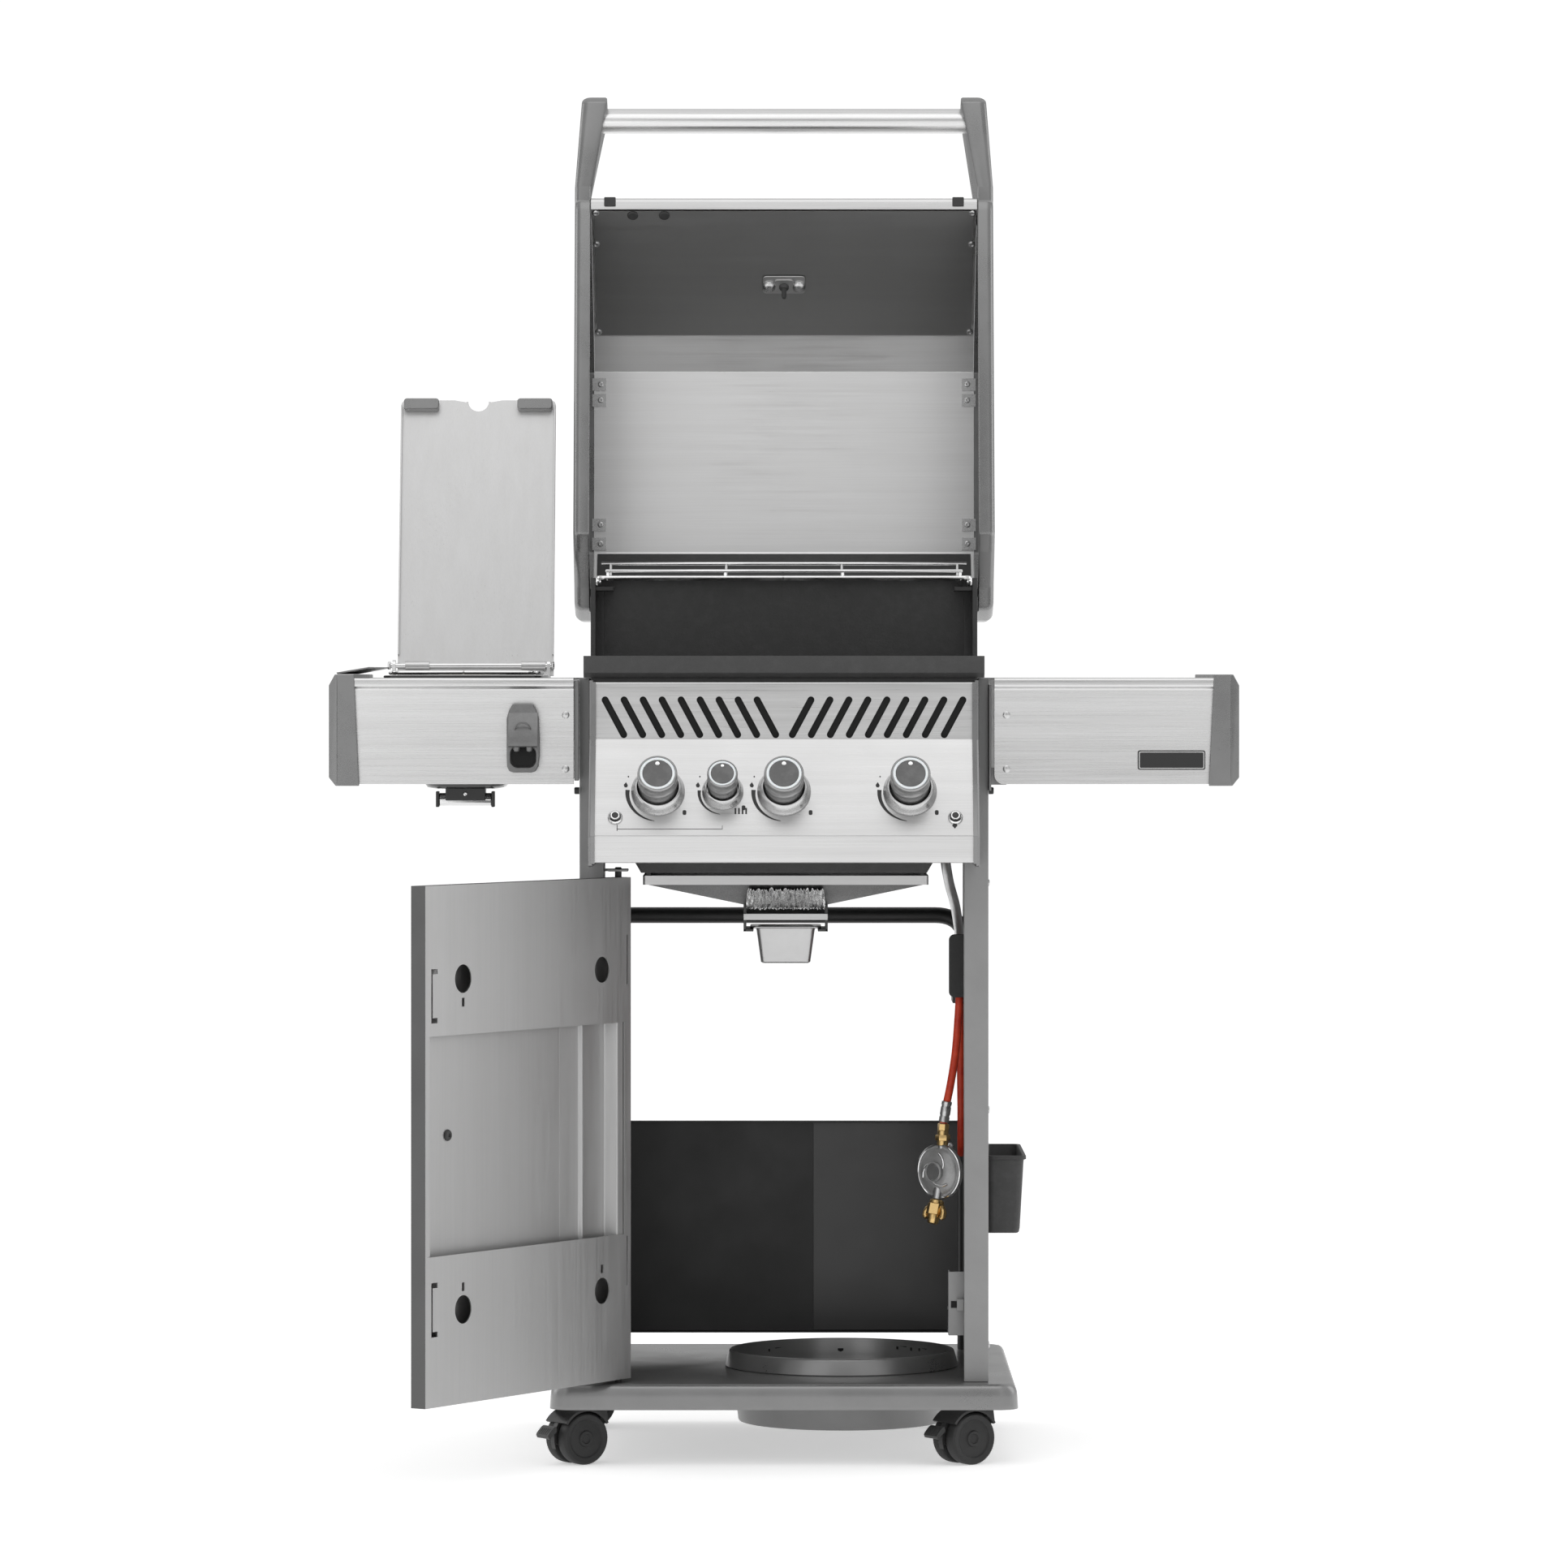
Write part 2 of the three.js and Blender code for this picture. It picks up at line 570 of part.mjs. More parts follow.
// ---------------------------------------------------------------- control panel
const KNOB_TILT = Math.atan2(BAND_TOP[1] - BAND_BOTTOM[1], BAND_TOP[0] - BAND_BOTTOM[0]);
const knobs = [
  ['left_burner_knob', BURNERS_X[0], 1],
  ['side_burner_knob', -72, 0.77],
  ['centre_burner_knob', BURNERS_X[1], 1],
  ['right_burner_knob', BURNERS_X[2], 1],
];
const buttons = [['left_igniter_button', -198, 770], ['right_igniter_button', 201, 770]];

function onBand(height) {
  const share = (BAND_TOP[1] - height) / (BAND_TOP[1] - BAND_BOTTOM[1]);
  return BAND_TOP[0] + share * (BAND_BOTTOM[0] - BAND_TOP[0]);
}

// moves a body drawn about the local Z axis onto the knob band, Z pointing out of it
function ontoBand(body, x, height) {
  const geometry = geometryOf(body).rotateX(KNOB_TILT).translate(x, onBand(height), height);
  return solid(geometry);
}

function ventSlot(x, lean) {
  const low = 867;
  const high = 908;
  const half = 4.1;
  const shape = new THREE.Shape();
  const dx = lean * 22;
  const angle = Math.atan2(high - low, dx);
  shape.absarc(x, low, half, angle + Math.PI / 2, angle + Math.PI * 1.5);
  shape.absarc(x + dx, high, half, angle - Math.PI / 2, angle + Math.PI / 2);
  const tool = extruded(shape, 20, 3).applyMatrix4(ALONG_Y);
  return solid(tool.translate(0, BAND_TOP[0] + 10, 0));
}

function controlPanel() {
  const line = [[-14, PANEL_TOP], [BAND_TOP[0], PANEL_TOP], BAND_TOP, BAND_BOTTOM,
    [-82, PANEL_BOTTOM], [-44, PANEL_BOTTOM]];
  let panel = prismX(foldedSheet(line, SHEET), -PANEL_X, PANEL_X);
  for (const [, x, size] of knobs) {
    const r = 31.5 * size;
    const inner = 24.5 * size;
    const ring = [[6, -1], [r, -1], [r, 5], [inner + 2, 15], [inner, 15], [inner, 6], [6, 6]];
    const geometry = ontoBand(turned([...ring, ring[0]], 16), x, KNOB_HEIGHT);
    panel = join(panel, geometry);
    panel = cut(panel, ontoBand(rod([0, 0, -8], [0, 0, 10], 6), x, KNOB_HEIGHT));
  }
  for (const [, x, height] of buttons) {
    panel = cut(panel, ontoBand(rod([0, 0, -8], [0, 0, 10], 6.4), x, height));
  }
  const slots = [];
  for (let i = 0; i < 9; i += 1) {
    slots.push(ventSlot(-189 + i * 22.4, -1), ventSlot(189 - i * 22.4, 1));
  }
  return cut(panel, ...slots);
}

function panelCap(side) {
  const back = [[-8, PANEL_TOP + 2], [-33, PANEL_TOP + 2], [-33, 861], [-91.5, 747.5],
    [-84, 714], [-70, 712], [POST_FRONT - GAP, 712], [POST_FRONT - GAP, 778], [-8, 802]];
  const plate = prismX([...back].reverse(), PANEL_X + GAP, PANEL_X + GAP + 4);
  const lip = prismX(foldedSheet([[-32.5, PANEL_TOP], [-32.5, 861.5], [-90.8, 748.4], [-84.4, 716]], SHEET),
    PANEL_X - 3, PANEL_X + 2).translate(0, -1.7, 0);
  const cap = join(plate, lip);
  return side > 0 ? cap : solid(mirrorX(geometryOf(cap)));
}

function knob(size) {
  const r = 23.5 * size;
  const body = turned([[0, 8], [r - 1.5, 8], [r, 10], [r - 0.6, 46], [r - 2.5, 48.5], [r - 5, 50],
    [r - 7, 48.6], [0, 48.6]], 18);
  return cut(body, rod([0, 0, 0], [0, 0, 30], 4.6, 12));
}

function igniterButton() {
  return turned([[0, -9], [4, -9], [4, -2], [5.6, -2], [5.6, 5], [4.8, 6.2], [0, 6.2]], 12);
}

function gasManifold() {
  const y = -6;
  const z = 775;
  let body = rod([-190, y, z], [184, y, z], 9, 12);
  for (const [, x, size] of knobs) {
    const valve = join(rod([0, 0, -62], [0, 0, -16], 11 * size, 10), rod([0, 0, -20], [0, 0, 27], 4, 10));
    body = join(body, ontoBand(valve, x, KNOB_HEIGHT));
  }
  const drop = [[180, y, z], [184.5, y + 2, z - 8], [189, 20, 735], [193, 60, 712], [199, 140, 686],
    [209, 220, 652], [216, 276, 604], [218, 297, 550], [219, 300, 500], [219, 300, 462]];
  return join(body, bentTube(drop, 6, 8, 24));
}

function addControls() {
  add(grill, 'control_panel', controlPanel(), steel());
  add(grill, 'left_panel_cap', panelCap(-1), castGrey());
  add(grill, 'right_panel_cap', panelCap(1), castGrey());
  add(grill, 'gas_manifold', gasManifold(), steel());
  for (const [name, x, size] of knobs) {
    const piece = add(grill, name, knob(size), chrome());
    piece.rotation.x = KNOB_TILT;
    piece.position.set(x, onBand(KNOB_HEIGHT), KNOB_HEIGHT);
  }
  for (const [name, x, height] of buttons) {
    const piece = add(grill, name, igniterButton(), blackPlastic());
    piece.rotation.x = KNOB_TILT;
    piece.position.set(x, onBand(height), height);
  }
}

// ---------------------------------------------------------------- shelves
function shelfLine() {
  return [[SHELF_DEPTH - 2, APRON_BOTTOM], [SHELF_DEPTH - 2, SHELF_TOP], [7, SHELF_TOP],
    [4, SHELF_TOP - 3], [4, APRON_BOTTOM]];
}

function leftShelf() {
  let shelf = prismX(foldedSheet(shelfLine(), SHEET), -SHELF_END + 27, -SHELF_INNER);
  shelf = cut(shelf, block(-474, -294, 62, 342, 900, 950));
  const [y, z] = BURNER_LID_PIVOT;
  const posts = BURNER_LID_X.map((x, i) => {
    const a = i === 0 ? x - 8 : x + 4;
    return join(block(a, a + 4, y - 6, y + 7, SHELF_TOP - 1, z), rod([a, y, z], [a + 4, y, z], 6, 12));
  });
  const pin = rod([BURNER_LID_X[0] - 6, y, z], [BURNER_LID_X[1] + 6, y, z], 3, 10);
  return join(shelf, ...posts, pin);
}

function rightShelf() {
  let shelf = prismX(foldedSheet(shelfLine(), SHEET), SHELF_INNER, SHELF_END - 27);
  const [px, pz] = SHELF_PIVOT;
  for (const y of [40, 398]) {
    const rib = prismY([[px - 7, pz - 7], [px + 34, pz - 7], [px + 60, SHELF_TOP + 0.5 - SHEET],
      [px - 7, SHELF_TOP + 0.5 - SHEET]], y, y + SHEET);
    shelf = join(shelf, cut(rib, rod([px, y - 5, pz], [px, y + 5, pz], 4.8, 12)));
  }
  return shelf;
}

function rightShelfBracket() {
  const [px, pz] = SHELF_PIVOT;
  const plate = block(SIDE_X + GAP, SIDE_X + 3, 20, 430, 800, 926);
  const ears = [24, 422].map((y) => block(SIDE_X + 1, px + 6, y, y + 3, pz - 10, pz + 10));
  return join(plate, ...ears, rod([px, 22, pz], [px, 427, pz], 4, 12));
}

function shelfCap(side) {
  const body = prismY([[SHELF_END - 26.5, APRON_BOTTOM - 2], [SHELF_END - 8, APRON_BOTTOM - 2],
    [SHELF_END, APRON_BOTTOM + 8], [SHELF_END, 925], [SHELF_END - 7, 938], [SHELF_END - 26.5, 938]],
  1.5, SHELF_DEPTH + 2);
  const hollow = block(SHELF_END - 30, SHELF_END - 5, 6, SHELF_DEPTH - 3, APRON_BOTTOM - 10, 930);
  const flange = prismY([[SHELF_END - 36, APRON_BOTTOM - 2], [SHELF_END - 10, APRON_BOTTOM - 2],
    [SHELF_END - 10, 938], [SHELF_END - 30, 938]], -1.5, 3.6);
  const cap = join(cut(body, hollow), flange);
  return side > 0 ? cap : solid(mirrorX(geometryOf(cap)));
}

function sideBurner() {
  const outer = hopper([-473, -295, 63, 341], [-432, -336, 140, 264], 800, 931);
  const inner = hopper([-471, -297, 65, 339], [-430, -338, 142, 262], 803, 935);
  const frame = cut(block(-478, -290, 58, 346, SHELF_TOP + GAP, 937), block(-471, -297, 65, 339, 930, 940));
  const collar = cut(block(-473, -295, 63, 341, 930, SHELF_TOP + 1), block(-471, -297, 65, 339, 929, 940));
  const head = block(-434, -334, 132, 272, 868, 884);
  const stalk = rod([-384, 202, 801], [-384, 202, 870], 14, 12);
  const bracket = block(-408, -360, 150, 180, 786, 801);
  const tube = rod([-420, 165, 787], [-349, 165, 787], 8, 12);
  return join(cut(outer, inner), frame, collar, head, stalk, bracket, tube);
}

function sideBurnerGrate() {
  const bars = 5;
  const pitch = (170 - 6) / bars;
  const slots = [];
  for (let i = 0; i < bars; i += 1) {
    const left = -469 + 3 + i * pitch + 2;
    const right = left + pitch - 4;
    slots.push(block(left, right, 83, 202, 930, 950), block(left, right, 210, 332, 930, 950));
  }
  const plate = cut(prismZ(roundedRect(-469, -299, 78, 337, 6), 938, 943), ...slots);
  const feet = [-474, -299].map((a) => block(a, a + 5, 100, 304, 937 + GAP, 943));
  return join(plate, ...feet);
}

function sideBurnerLid() {
  const [x0, x1] = BURNER_LID_X;
  const front = -BURNER_LID_LENGTH;
  const notch = new THREE.Shape();
  notch.moveTo(x0, 12);
  notch.lineTo(x0, front);
  const middle = (x0 + x1) / 2;
  notch.lineTo(middle - 14, front);
  notch.absarc(middle, front, 14, Math.PI, 0, true);
  notch.lineTo(x1, front);
  notch.lineTo(x1, 12);
  const plate = prismZ(notch, 4, 4 + SHEET);
  const hems = [[x0, x0 + SHEET], [x1 - SHEET, x1]].map(([a, b]) => block(a, b, front, -14, -2, 5));
  const feet = [x0 + 6, x1 - 46].map((a) => block(a, a + 40, front, front + 14, -10, 5));
  const knuckles = [x0 + 10, x1 - 40].map((a) => {
    const barrel = join(rod([a, 0, 0], [a + 30, 0, 0], 6, 12), block(a, a + 30, -5, 5, 0, 5));
    return cut(barrel, rod([a - 1, 0, 0], [a + 31, 0, 0], 3.6, 12));
  });
  return join(plate, ...hems, ...feet, ...knuckles);
}

function bottleOpener() {
  const shape = new THREE.Shape();
  shape.moveTo(-321, 903);
  shape.lineTo(-297, 903);
  shape.lineTo(-290, 886);
  shape.lineTo(-289, 842);
  shape.quadraticCurveTo(-290, 823, -299, 822);
  shape.lineTo(-320, 822);
  shape.quadraticCurveTo(-328, 824, -328, 842);
  shape.lineTo(-328, 886);
  const plate = prismY(shape, -9, 1.5 + 2 - GAP);
  const hood = prismX([[-8.5, 893], [-24, 858], [-24, 852], [-8.5, 852]].reverse(), -327, -290);
  const mouth = prismY(roundedRect(-323, -294, 828, 850, 8), -12, -4);
  return cut(join(plate, hood), mouth);
}

function addShelves() {
  add(grill, 'left_shelf', leftShelf(), steel());
  add(grill, 'left_shelf_cap', shelfCap(-1), castGrey());
  add(grill, 'side_burner', sideBurner(), blackPaint());
  add(grill, 'side_burner_grate', sideBurnerGrate(), chrome());
  add(grill, 'bottle_opener', bottleOpener(), greyPaint());
  add(grill, 'right_shelf', rightShelf(), steel());
  add(grill, 'right_shelf_cap', shelfCap(1), castGrey());
  add(grill, 'right_shelf_bracket', rightShelfBracket(), greyPaint());
  const lid = new THREE.Group();
  lid.position.set(0, BURNER_LID_PIVOT[0], BURNER_LID_PIVOT[1]);
  lid.rotation.x = -rad(BURNER_LID_OPEN);
  grill.add(lid);
  add(lid, 'side_burner_lid', sideBurnerLid(), steel());
}

// ---------------------------------------------------------------- grease tray and cup
function greaseTray() {
  const rim = block(-168, 172, 46, 414, 688, 699);
  const funnel = hopper([-168, 172, 46, 414], [-42, 46, 186, 274], 658, 688.5);
  const inner = join(hopper([-165, 169, 49, 411], [-39, 43, 189, 271], 661, 690),
    block(-165, 169, 49, 411, 689.9, 705), block(-30, 34, 200, 260, 650, 665));
  let tray = cut(join(rim, funnel), inner);
  for (const [a, b, lip] of [[-49, -46, 1], [50, 53, -1]]) {
    const inward = lip > 0 ? [a, a + 12] : [b - 12, b];
    tray = join(tray, block(a, b, 180, 280, 627, 660), block(inward[0], inward[1], 180, 280, 627, 630),
      block(Math.min(a, a + lip * 8), Math.max(b, b + lip * 8), 186, 274, 656, 660));
  }
  return tray;
}

function dripCup() {
  const outer = hopper([-34, 38, 194, 266], [-28, 32, 200, 260], 588, 631);
  const inner = hopper([-32.5, 36.5, 195.5, 264.5], [-26.5, 30.5, 201.5, 258.5], 589.5, 640);
  const flange = block(-41, 45, 187, 273, 630 + GAP, 633);
  return cut(join(outer, flange), inner);
}

// ---------------------------------------------------------------- gas hose and regulator
const HOSE_ROUTE = [
  [219, 300, 461], [218.5, 300, 440], [218, 300, 418], [217.5, 299, 396], [217, 287, 368], [216.5, 259, 354],
  [216, 231, 368], [215.5, 219, 396], [215, 218, 430], [214.5, 218, 470], [214, 218, 510], [213.5, 218, 548],
  [213, 206.3, 576.3], [212.5, 178, 588], [212, 149.7, 576.3], [211, 138, 548], [209, 138, 515],
  [206, 138, 480], [200.5, 138, 445], [195, 138, 418], [192, 138, 398],
];

function regulator() {
  const disc = turned([[0, -14], [20, -14], [27, -8], [33, -5], [33, 5], [27, 8], [22, 14], [0, 14]], 18);
  const placed = solid(geometryOf(disc).rotateX(Math.PI / 2).rotateZ(rad(-40)).translate(188, 138, 340));
  const inlet = bentTube([[187, 136, 318], [184.5, 133, 306]], 8, 10, 1);
  const outlet = bentTube([[190.6, 138, 360], [191.4, 138, 396.5]], 6.5, 10, 1);
  return join(placed, inlet, outlet);
}

function regulatorNut() {
  const nut = rod([184.2, 132.6, 305.4], [178, 126, 276], 11, 6);
  return nut;
}

// ---------------------------------------------------------------- assembly
add(grill, 'base_tray', baseTray(), greyPaint());
addCasters();
add(grill, 'left_side_panel', sidePanel(-1), greyPaint());
add(grill, 'right_side_panel', sidePanel(1), greyPaint());
add(grill, 'rear_frame', rearFrame(), blackPaint());
add(grill, 'rear_panel', rearPanel(), blackPaint());
add(grill, 'door_catch', doorCatch(), steel());
add(grill, 'hose_hook', hoseHook(), blackPlastic());
add(grill, 'side_basket', sideBasket(), blackPlastic());
addDoor();
add(grill, 'firebox', firebox(), castGrey());
const names = ['left', 'centre', 'right'];
BURNERS_X.forEach((x, i) => {
  add(grill, `${names[i]}_burner`, burner(x), steel());
  add(grill, `${names[i]}_flame_tamer`, flameTamer(x), steel());
});
add(grill, 'left_cooking_grid', cookingGrid(-221, -1), enamel());
add(grill, 'right_cooking_grid', cookingGrid(1, 221), enamel());
add(grill, 'warming_rack', warmingRack(), chrome());
addLid();
addControls();
addShelves();
add(grill, 'grease_tray', greaseTray(), steel());
add(grill, 'drip_cup', dripCup(), paint(0xb9b9b7, 0.4, 1));
add(grill, 'gas_hose', bentTube(HOSE_ROUTE, HOSE_DIAMETER / 2, 8, 48), redRubber());
add(grill, 'regulator', regulator(), steel());
add(grill, 'regulator_nut', regulatorNut(), brass());

export default grill;
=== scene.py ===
"""Looks of the gas barbecue grill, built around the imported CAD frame.

Lengths are millimetres in the design frame (x to the right, y back from the front edge of the base,
z up from the floor) until a placing matrix turns them to metres in the shared frame.
"""

import math

import bmesh
import bpy
from mathutils import Matrix, Vector, noise


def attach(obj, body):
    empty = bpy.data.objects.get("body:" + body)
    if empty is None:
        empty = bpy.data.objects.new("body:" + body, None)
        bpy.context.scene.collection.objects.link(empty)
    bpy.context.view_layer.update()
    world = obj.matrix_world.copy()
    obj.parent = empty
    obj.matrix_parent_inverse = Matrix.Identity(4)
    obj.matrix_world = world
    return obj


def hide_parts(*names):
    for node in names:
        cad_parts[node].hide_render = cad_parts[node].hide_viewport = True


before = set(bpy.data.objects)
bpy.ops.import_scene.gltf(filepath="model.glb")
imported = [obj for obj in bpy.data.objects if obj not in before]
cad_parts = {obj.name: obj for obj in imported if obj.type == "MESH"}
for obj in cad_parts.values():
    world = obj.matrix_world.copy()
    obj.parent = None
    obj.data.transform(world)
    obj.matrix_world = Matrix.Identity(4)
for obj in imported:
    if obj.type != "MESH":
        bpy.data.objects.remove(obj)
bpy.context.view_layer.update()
scene = bpy.context.scene
rad = math.radians

# ---------------------------------------------------------------- places
DEPTH_CENTRE = 178.4
WORLD = Matrix.Scale(0.001, 4) @ Matrix.Translation((0, -DEPTH_CENTRE, 0))


def shift(x, y, z):
    return Matrix.Translation((x, y, z))


def turn(degrees, axis):
    return Matrix.Rotation(rad(degrees), 4, axis)


LID = WORLD @ shift(0, 470, 1040) @ turn(-100, "X")
DOOR = WORLD @ shift(-197, 34, 0) @ turn(-122.5, "Z")
BURNER_LID = WORLD @ shift(0, 404, 949) @ turn(-104, "X")
BAND_TOP, BAND_BOTTOM = (-30, 862), (-88, 749)
BAND_TILT = math.degrees(math.atan2(BAND_TOP[1] - BAND_BOTTOM[1], BAND_TOP[0] - BAND_BOTTOM[0]))


def on_band(x, height):
    """Frame on the sloping knob band: its Z points out of the panel."""
    share = (BAND_TOP[1] - height) / (BAND_TOP[1] - BAND_BOTTOM[1])
    y = BAND_TOP[0] + share * (BAND_BOTTOM[0] - BAND_TOP[0])
    return WORLD @ shift(x, y, height) @ turn(BAND_TILT, "X")


# ---------------------------------------------------------------- camera, floor and light
CAMERA_PLACE = (0, -8.438, 0.939)
LENS, SENSOR_WIDTH, SHIFT_UP = 160.2, 36, -0.0704
BACKDROP_STRENGTH = 1.05
SKY = [(0.0, 0.46), (0.25, 0.54), (0.6, 0.72), (1.0, 0.92)]  # height on the sky, level of light
FLOOR_HALF = 30
LIGHTS = [  # name, place, aim, width, height, radiance
    ("left_softbox", (-1.5, -2.9, 1.5), (-0.2, 0, 1.0), 1.7, 2.4, 0.52),
    ("right_softbox", (1.6, -2.9, 1.4), (0.2, 0, 0.9), 1.6, 2.2, 0.26),
    ("top_softbox", (0, -1.3, 3.1), (0, -0.1, 1.0), 2.6, 1.8, 0.72),
    ("left_edge", (-2.6, 0.6, 1.4), (0, 0, 1.0), 1.2, 2.2, 1.5),
    ("right_edge", (2.6, 0.6, 1.4), (0, 0, 1.0), 1.2, 2.2, 1.5),
]


def set_camera():
    data = bpy.data.cameras.new("camera")
    camera = bpy.data.objects.new("camera", data)
    scene.collection.objects.link(camera)
    camera.location = CAMERA_PLACE
    camera.rotation_euler = (rad(90), 0, 0)
    data.lens = LENS
    data.sensor_width = SENSOR_WIDTH
    data.shift_y = SHIFT_UP
    data.clip_end = 60
    scene.camera = camera


def area_light(name, place, aim, width, height, radiance):
    data = bpy.data.lights.new(name, "AREA")
    data.shape = "RECTANGLE"
    data.size, data.size_y = width, height
    data.energy = radiance * math.pi * width * height
    light = bpy.data.objects.new(name, data)
    light.location = place
    light.rotation_euler = (Vector(aim) - Vector(place)).to_track_quat("-Z", "Y").to_euler()
    light.visible_camera = False
    scene.collection.objects.link(light)


def set_world():
    """A pale studio: white behind the object, and a soft fall of light from above for reflections."""
    world = bpy.data.worlds.new("studio")
    scene.world = world
    world.use_nodes = True
    nodes, links = world.node_tree.nodes, world.node_tree.links
    nodes.clear()
    out = nodes.new("ShaderNodeOutputWorld")
    mix = nodes.new("ShaderNodeMixShader")
    path = nodes.new("ShaderNodeLightPath")
    seen = nodes.new("ShaderNodeBackground")
    seen.inputs["Color"].default_value = (1, 1, 1, 1)
    seen.inputs["Strength"].default_value = BACKDROP_STRENGTH
    lit = nodes.new("ShaderNodeBackground")
    where = nodes.new("ShaderNodeTexCoord")
    split = nodes.new("ShaderNodeSeparateXYZ")
    ramp = nodes.new("ShaderNodeValToRGB")
    stops = ramp.color_ramp.elements
    for i, (at, level) in enumerate(SKY):
        stop = stops[i] if i < 2 else stops.new(at)
        stop.position = at
        stop.color = (level, level, level, 1)
    links.new(where.outputs["Generated"], split.inputs[0])
    links.new(split.outputs["Z"], ramp.inputs["Fac"])
    links.new(ramp.outputs["Color"], lit.inputs["Color"])
    links.new(path.outputs["Is Camera Ray"], mix.inputs["Fac"])
    links.new(lit.outputs[0], mix.inputs[1])
    links.new(seen.outputs[0], mix.inputs[2])
    links.new(mix.outputs[0], out.inputs["Surface"])


def set_floor():
    """A large sheet of bright paper that takes the contact shadow."""
    mesh = bpy.data.meshes.new("floor")
    corners = [(sx * FLOOR_HALF, sy * FLOOR_HALF, 0) for sx, sy in ((-1, -1), (1, -1), (1, 1), (-1, 1))]
    mesh.from_pydata(corners, [], [(0, 1, 2, 3)])
    floor = bpy.data.objects.new("floor", mesh)
    scene.collection.objects.link(floor)
    paper = bpy.data.materials.new("paper")
    paper.use_nodes = True
    shader = paper.node_tree.nodes["Principled BSDF"]
    shader.inputs["Base Color"].default_value = (0.86, 0.86, 0.86, 1)
    shader.inputs["Roughness"].default_value = 0.9
    shader.inputs["Specular IOR Level"].default_value = 0.1
    shader.inputs["Emission Color"].default_value = (1, 1, 1, 1)
    shader.inputs["Emission Strength"].default_value = 0.43
    mesh.materials.append(paper)


set_camera()
scene.view_settings.view_transform = "Standard"
set_world()
set_floor()
for light_row in LIGHTS:
    area_light(*light_row)



# ---------------------------------------------------------------- materials
class Shader:
    """A Principled material whose patterns come from noise in the piece's own coordinates (metres)."""

    def __init__(self, name, base, metallic, roughness, **sockets):
        self.material = bpy.data.materials.new(name)
        self.material.use_nodes = True
        self.nodes = self.material.node_tree.nodes
        self.links = self.material.node_tree.links
        self.bsdf = self.nodes["Principled BSDF"]
        self.set("Base Color", (*base, 1))
        self.set("Metallic", metallic)
        self.set("Roughness", roughness)
        for key, value in sockets.items():
            self.set(key.replace("_", " "), value)
        self.height = None

    def set(self, socket, value):
        self.bsdf.inputs[socket].default_value = value

    def noise(self, scale, detail=2.0, roughness=0.5):
        """Noise of the given repeats per metre: one number, or one for each axis."""
        where = self.nodes.new("ShaderNodeTexCoord")
        stretch = self.nodes.new("ShaderNodeMapping")
        stretch.inputs["Scale"].default_value = scale if hasattr(scale, "__len__") else (scale,) * 3
        field = self.nodes.new("ShaderNodeTexNoise")
        field.inputs["Scale"].default_value = 1.0
        field.inputs["Detail"].default_value = detail
        field.inputs["Roughness"].default_value = roughness
        self.links.new(where.outputs["Object"], stretch.inputs["Vector"])
        self.links.new(stretch.outputs[0], field.inputs["Vector"])
        return field.outputs["Fac"]

    def cells(self, scale, feature="F1"):
        where = self.nodes.new("ShaderNodeTexCoord")
        field = self.nodes.new("ShaderNodeTexVoronoi")
        field.feature = feature
        field.inputs["Scale"].default_value = scale
        self.links.new(where.outputs["Object"], field.inputs["Vector"])
        return field.outputs["Distance"]

    def spread(self, value, low, high, start=0.3, end=0.7):
        """Maps a noise value to low..high."""
        node = self.nodes.new("ShaderNodeMapRange")
        for key, number in (("From Min", start), ("From Max", end), ("To Min", low), ("To Max", high)):
            node.inputs[key].default_value = number
        self.links.new(value, node.inputs["Value"])
        return node.outputs["Result"]

    def add(self, a, b, operation="ADD"):
        node = self.nodes.new("ShaderNodeMath")
        node.operation = operation
        for socket, value in zip(node.inputs, (a, b)):
            if isinstance(value, (int, float)):
                socket.default_value = value
            else:
                self.links.new(value, socket)
        return node.outputs[0]

    def tint(self, factor, dark, light):
        """Base colour from dark to light as factor goes from 0 to 1."""
        mix = self.nodes.new("ShaderNodeMix")
        mix.data_type = "RGBA"
        mix.inputs["A"].default_value = (*dark, 1)
        mix.inputs["B"].default_value = (*light, 1)
        self.links.new(factor, mix.inputs["Factor"])
        self.links.new(mix.outputs["Result"], self.bsdf.inputs["Base Color"])

    def rough(self, value):
        self.links.new(value, self.bsdf.inputs["Roughness"])

    def bump(self, value, strength, distance):
        node = self.nodes.new("ShaderNodeBump")
        node.inputs["Strength"].default_value = strength
        node.inputs["Distance"].default_value = distance
        self.links.new(value, node.inputs["Height"])
        if self.height is not None:
            self.links.new(self.height, node.inputs["Normal"])
        self.height = node.outputs[0]
        self.links.new(self.height, self.bsdf.inputs["Normal"])


def grey(level, warm=0.0):
    return (level * (1 + warm), level, level * (1 - warm))


def brushed(name, level, grain, roughness, contrast=1.0, fine=900):
    """Brushed sheet: long streaks along one axis, a slow change of tone and a few soft smudges."""
    axis = "XYZ".index(grain)
    stretched = [tuple(low if i == axis else high for i in range(3)) for low, high in ((7, fine), (1.6, 70))]
    s = Shader(name, grey(level), 1.0, roughness)
    fine_streaks = s.noise(stretched[0], 3, 0.65)
    broad_streaks = s.noise(stretched[1], 2, 0.6)
    smudges = s.noise(9, 3, 0.6)
    streaks = s.add(s.add(fine_streaks, 0.6, "MULTIPLY"), s.add(broad_streaks, 0.4, "MULTIPLY"))
    tone = s.spread(streaks, 0, 1, 0.32, 0.68)
    s.tint(tone, grey(level * (1 - 0.10 * contrast), 0.004), grey(min(level * (1 + 0.07 * contrast), 0.97)))
    s.rough(s.add(s.spread(fine_streaks, roughness - 0.07, roughness + 0.08), s.spread(smudges, -0.02, 0.04)))
    s.bump(fine_streaks, 0.10 * contrast, 0.0002)
    return s.material


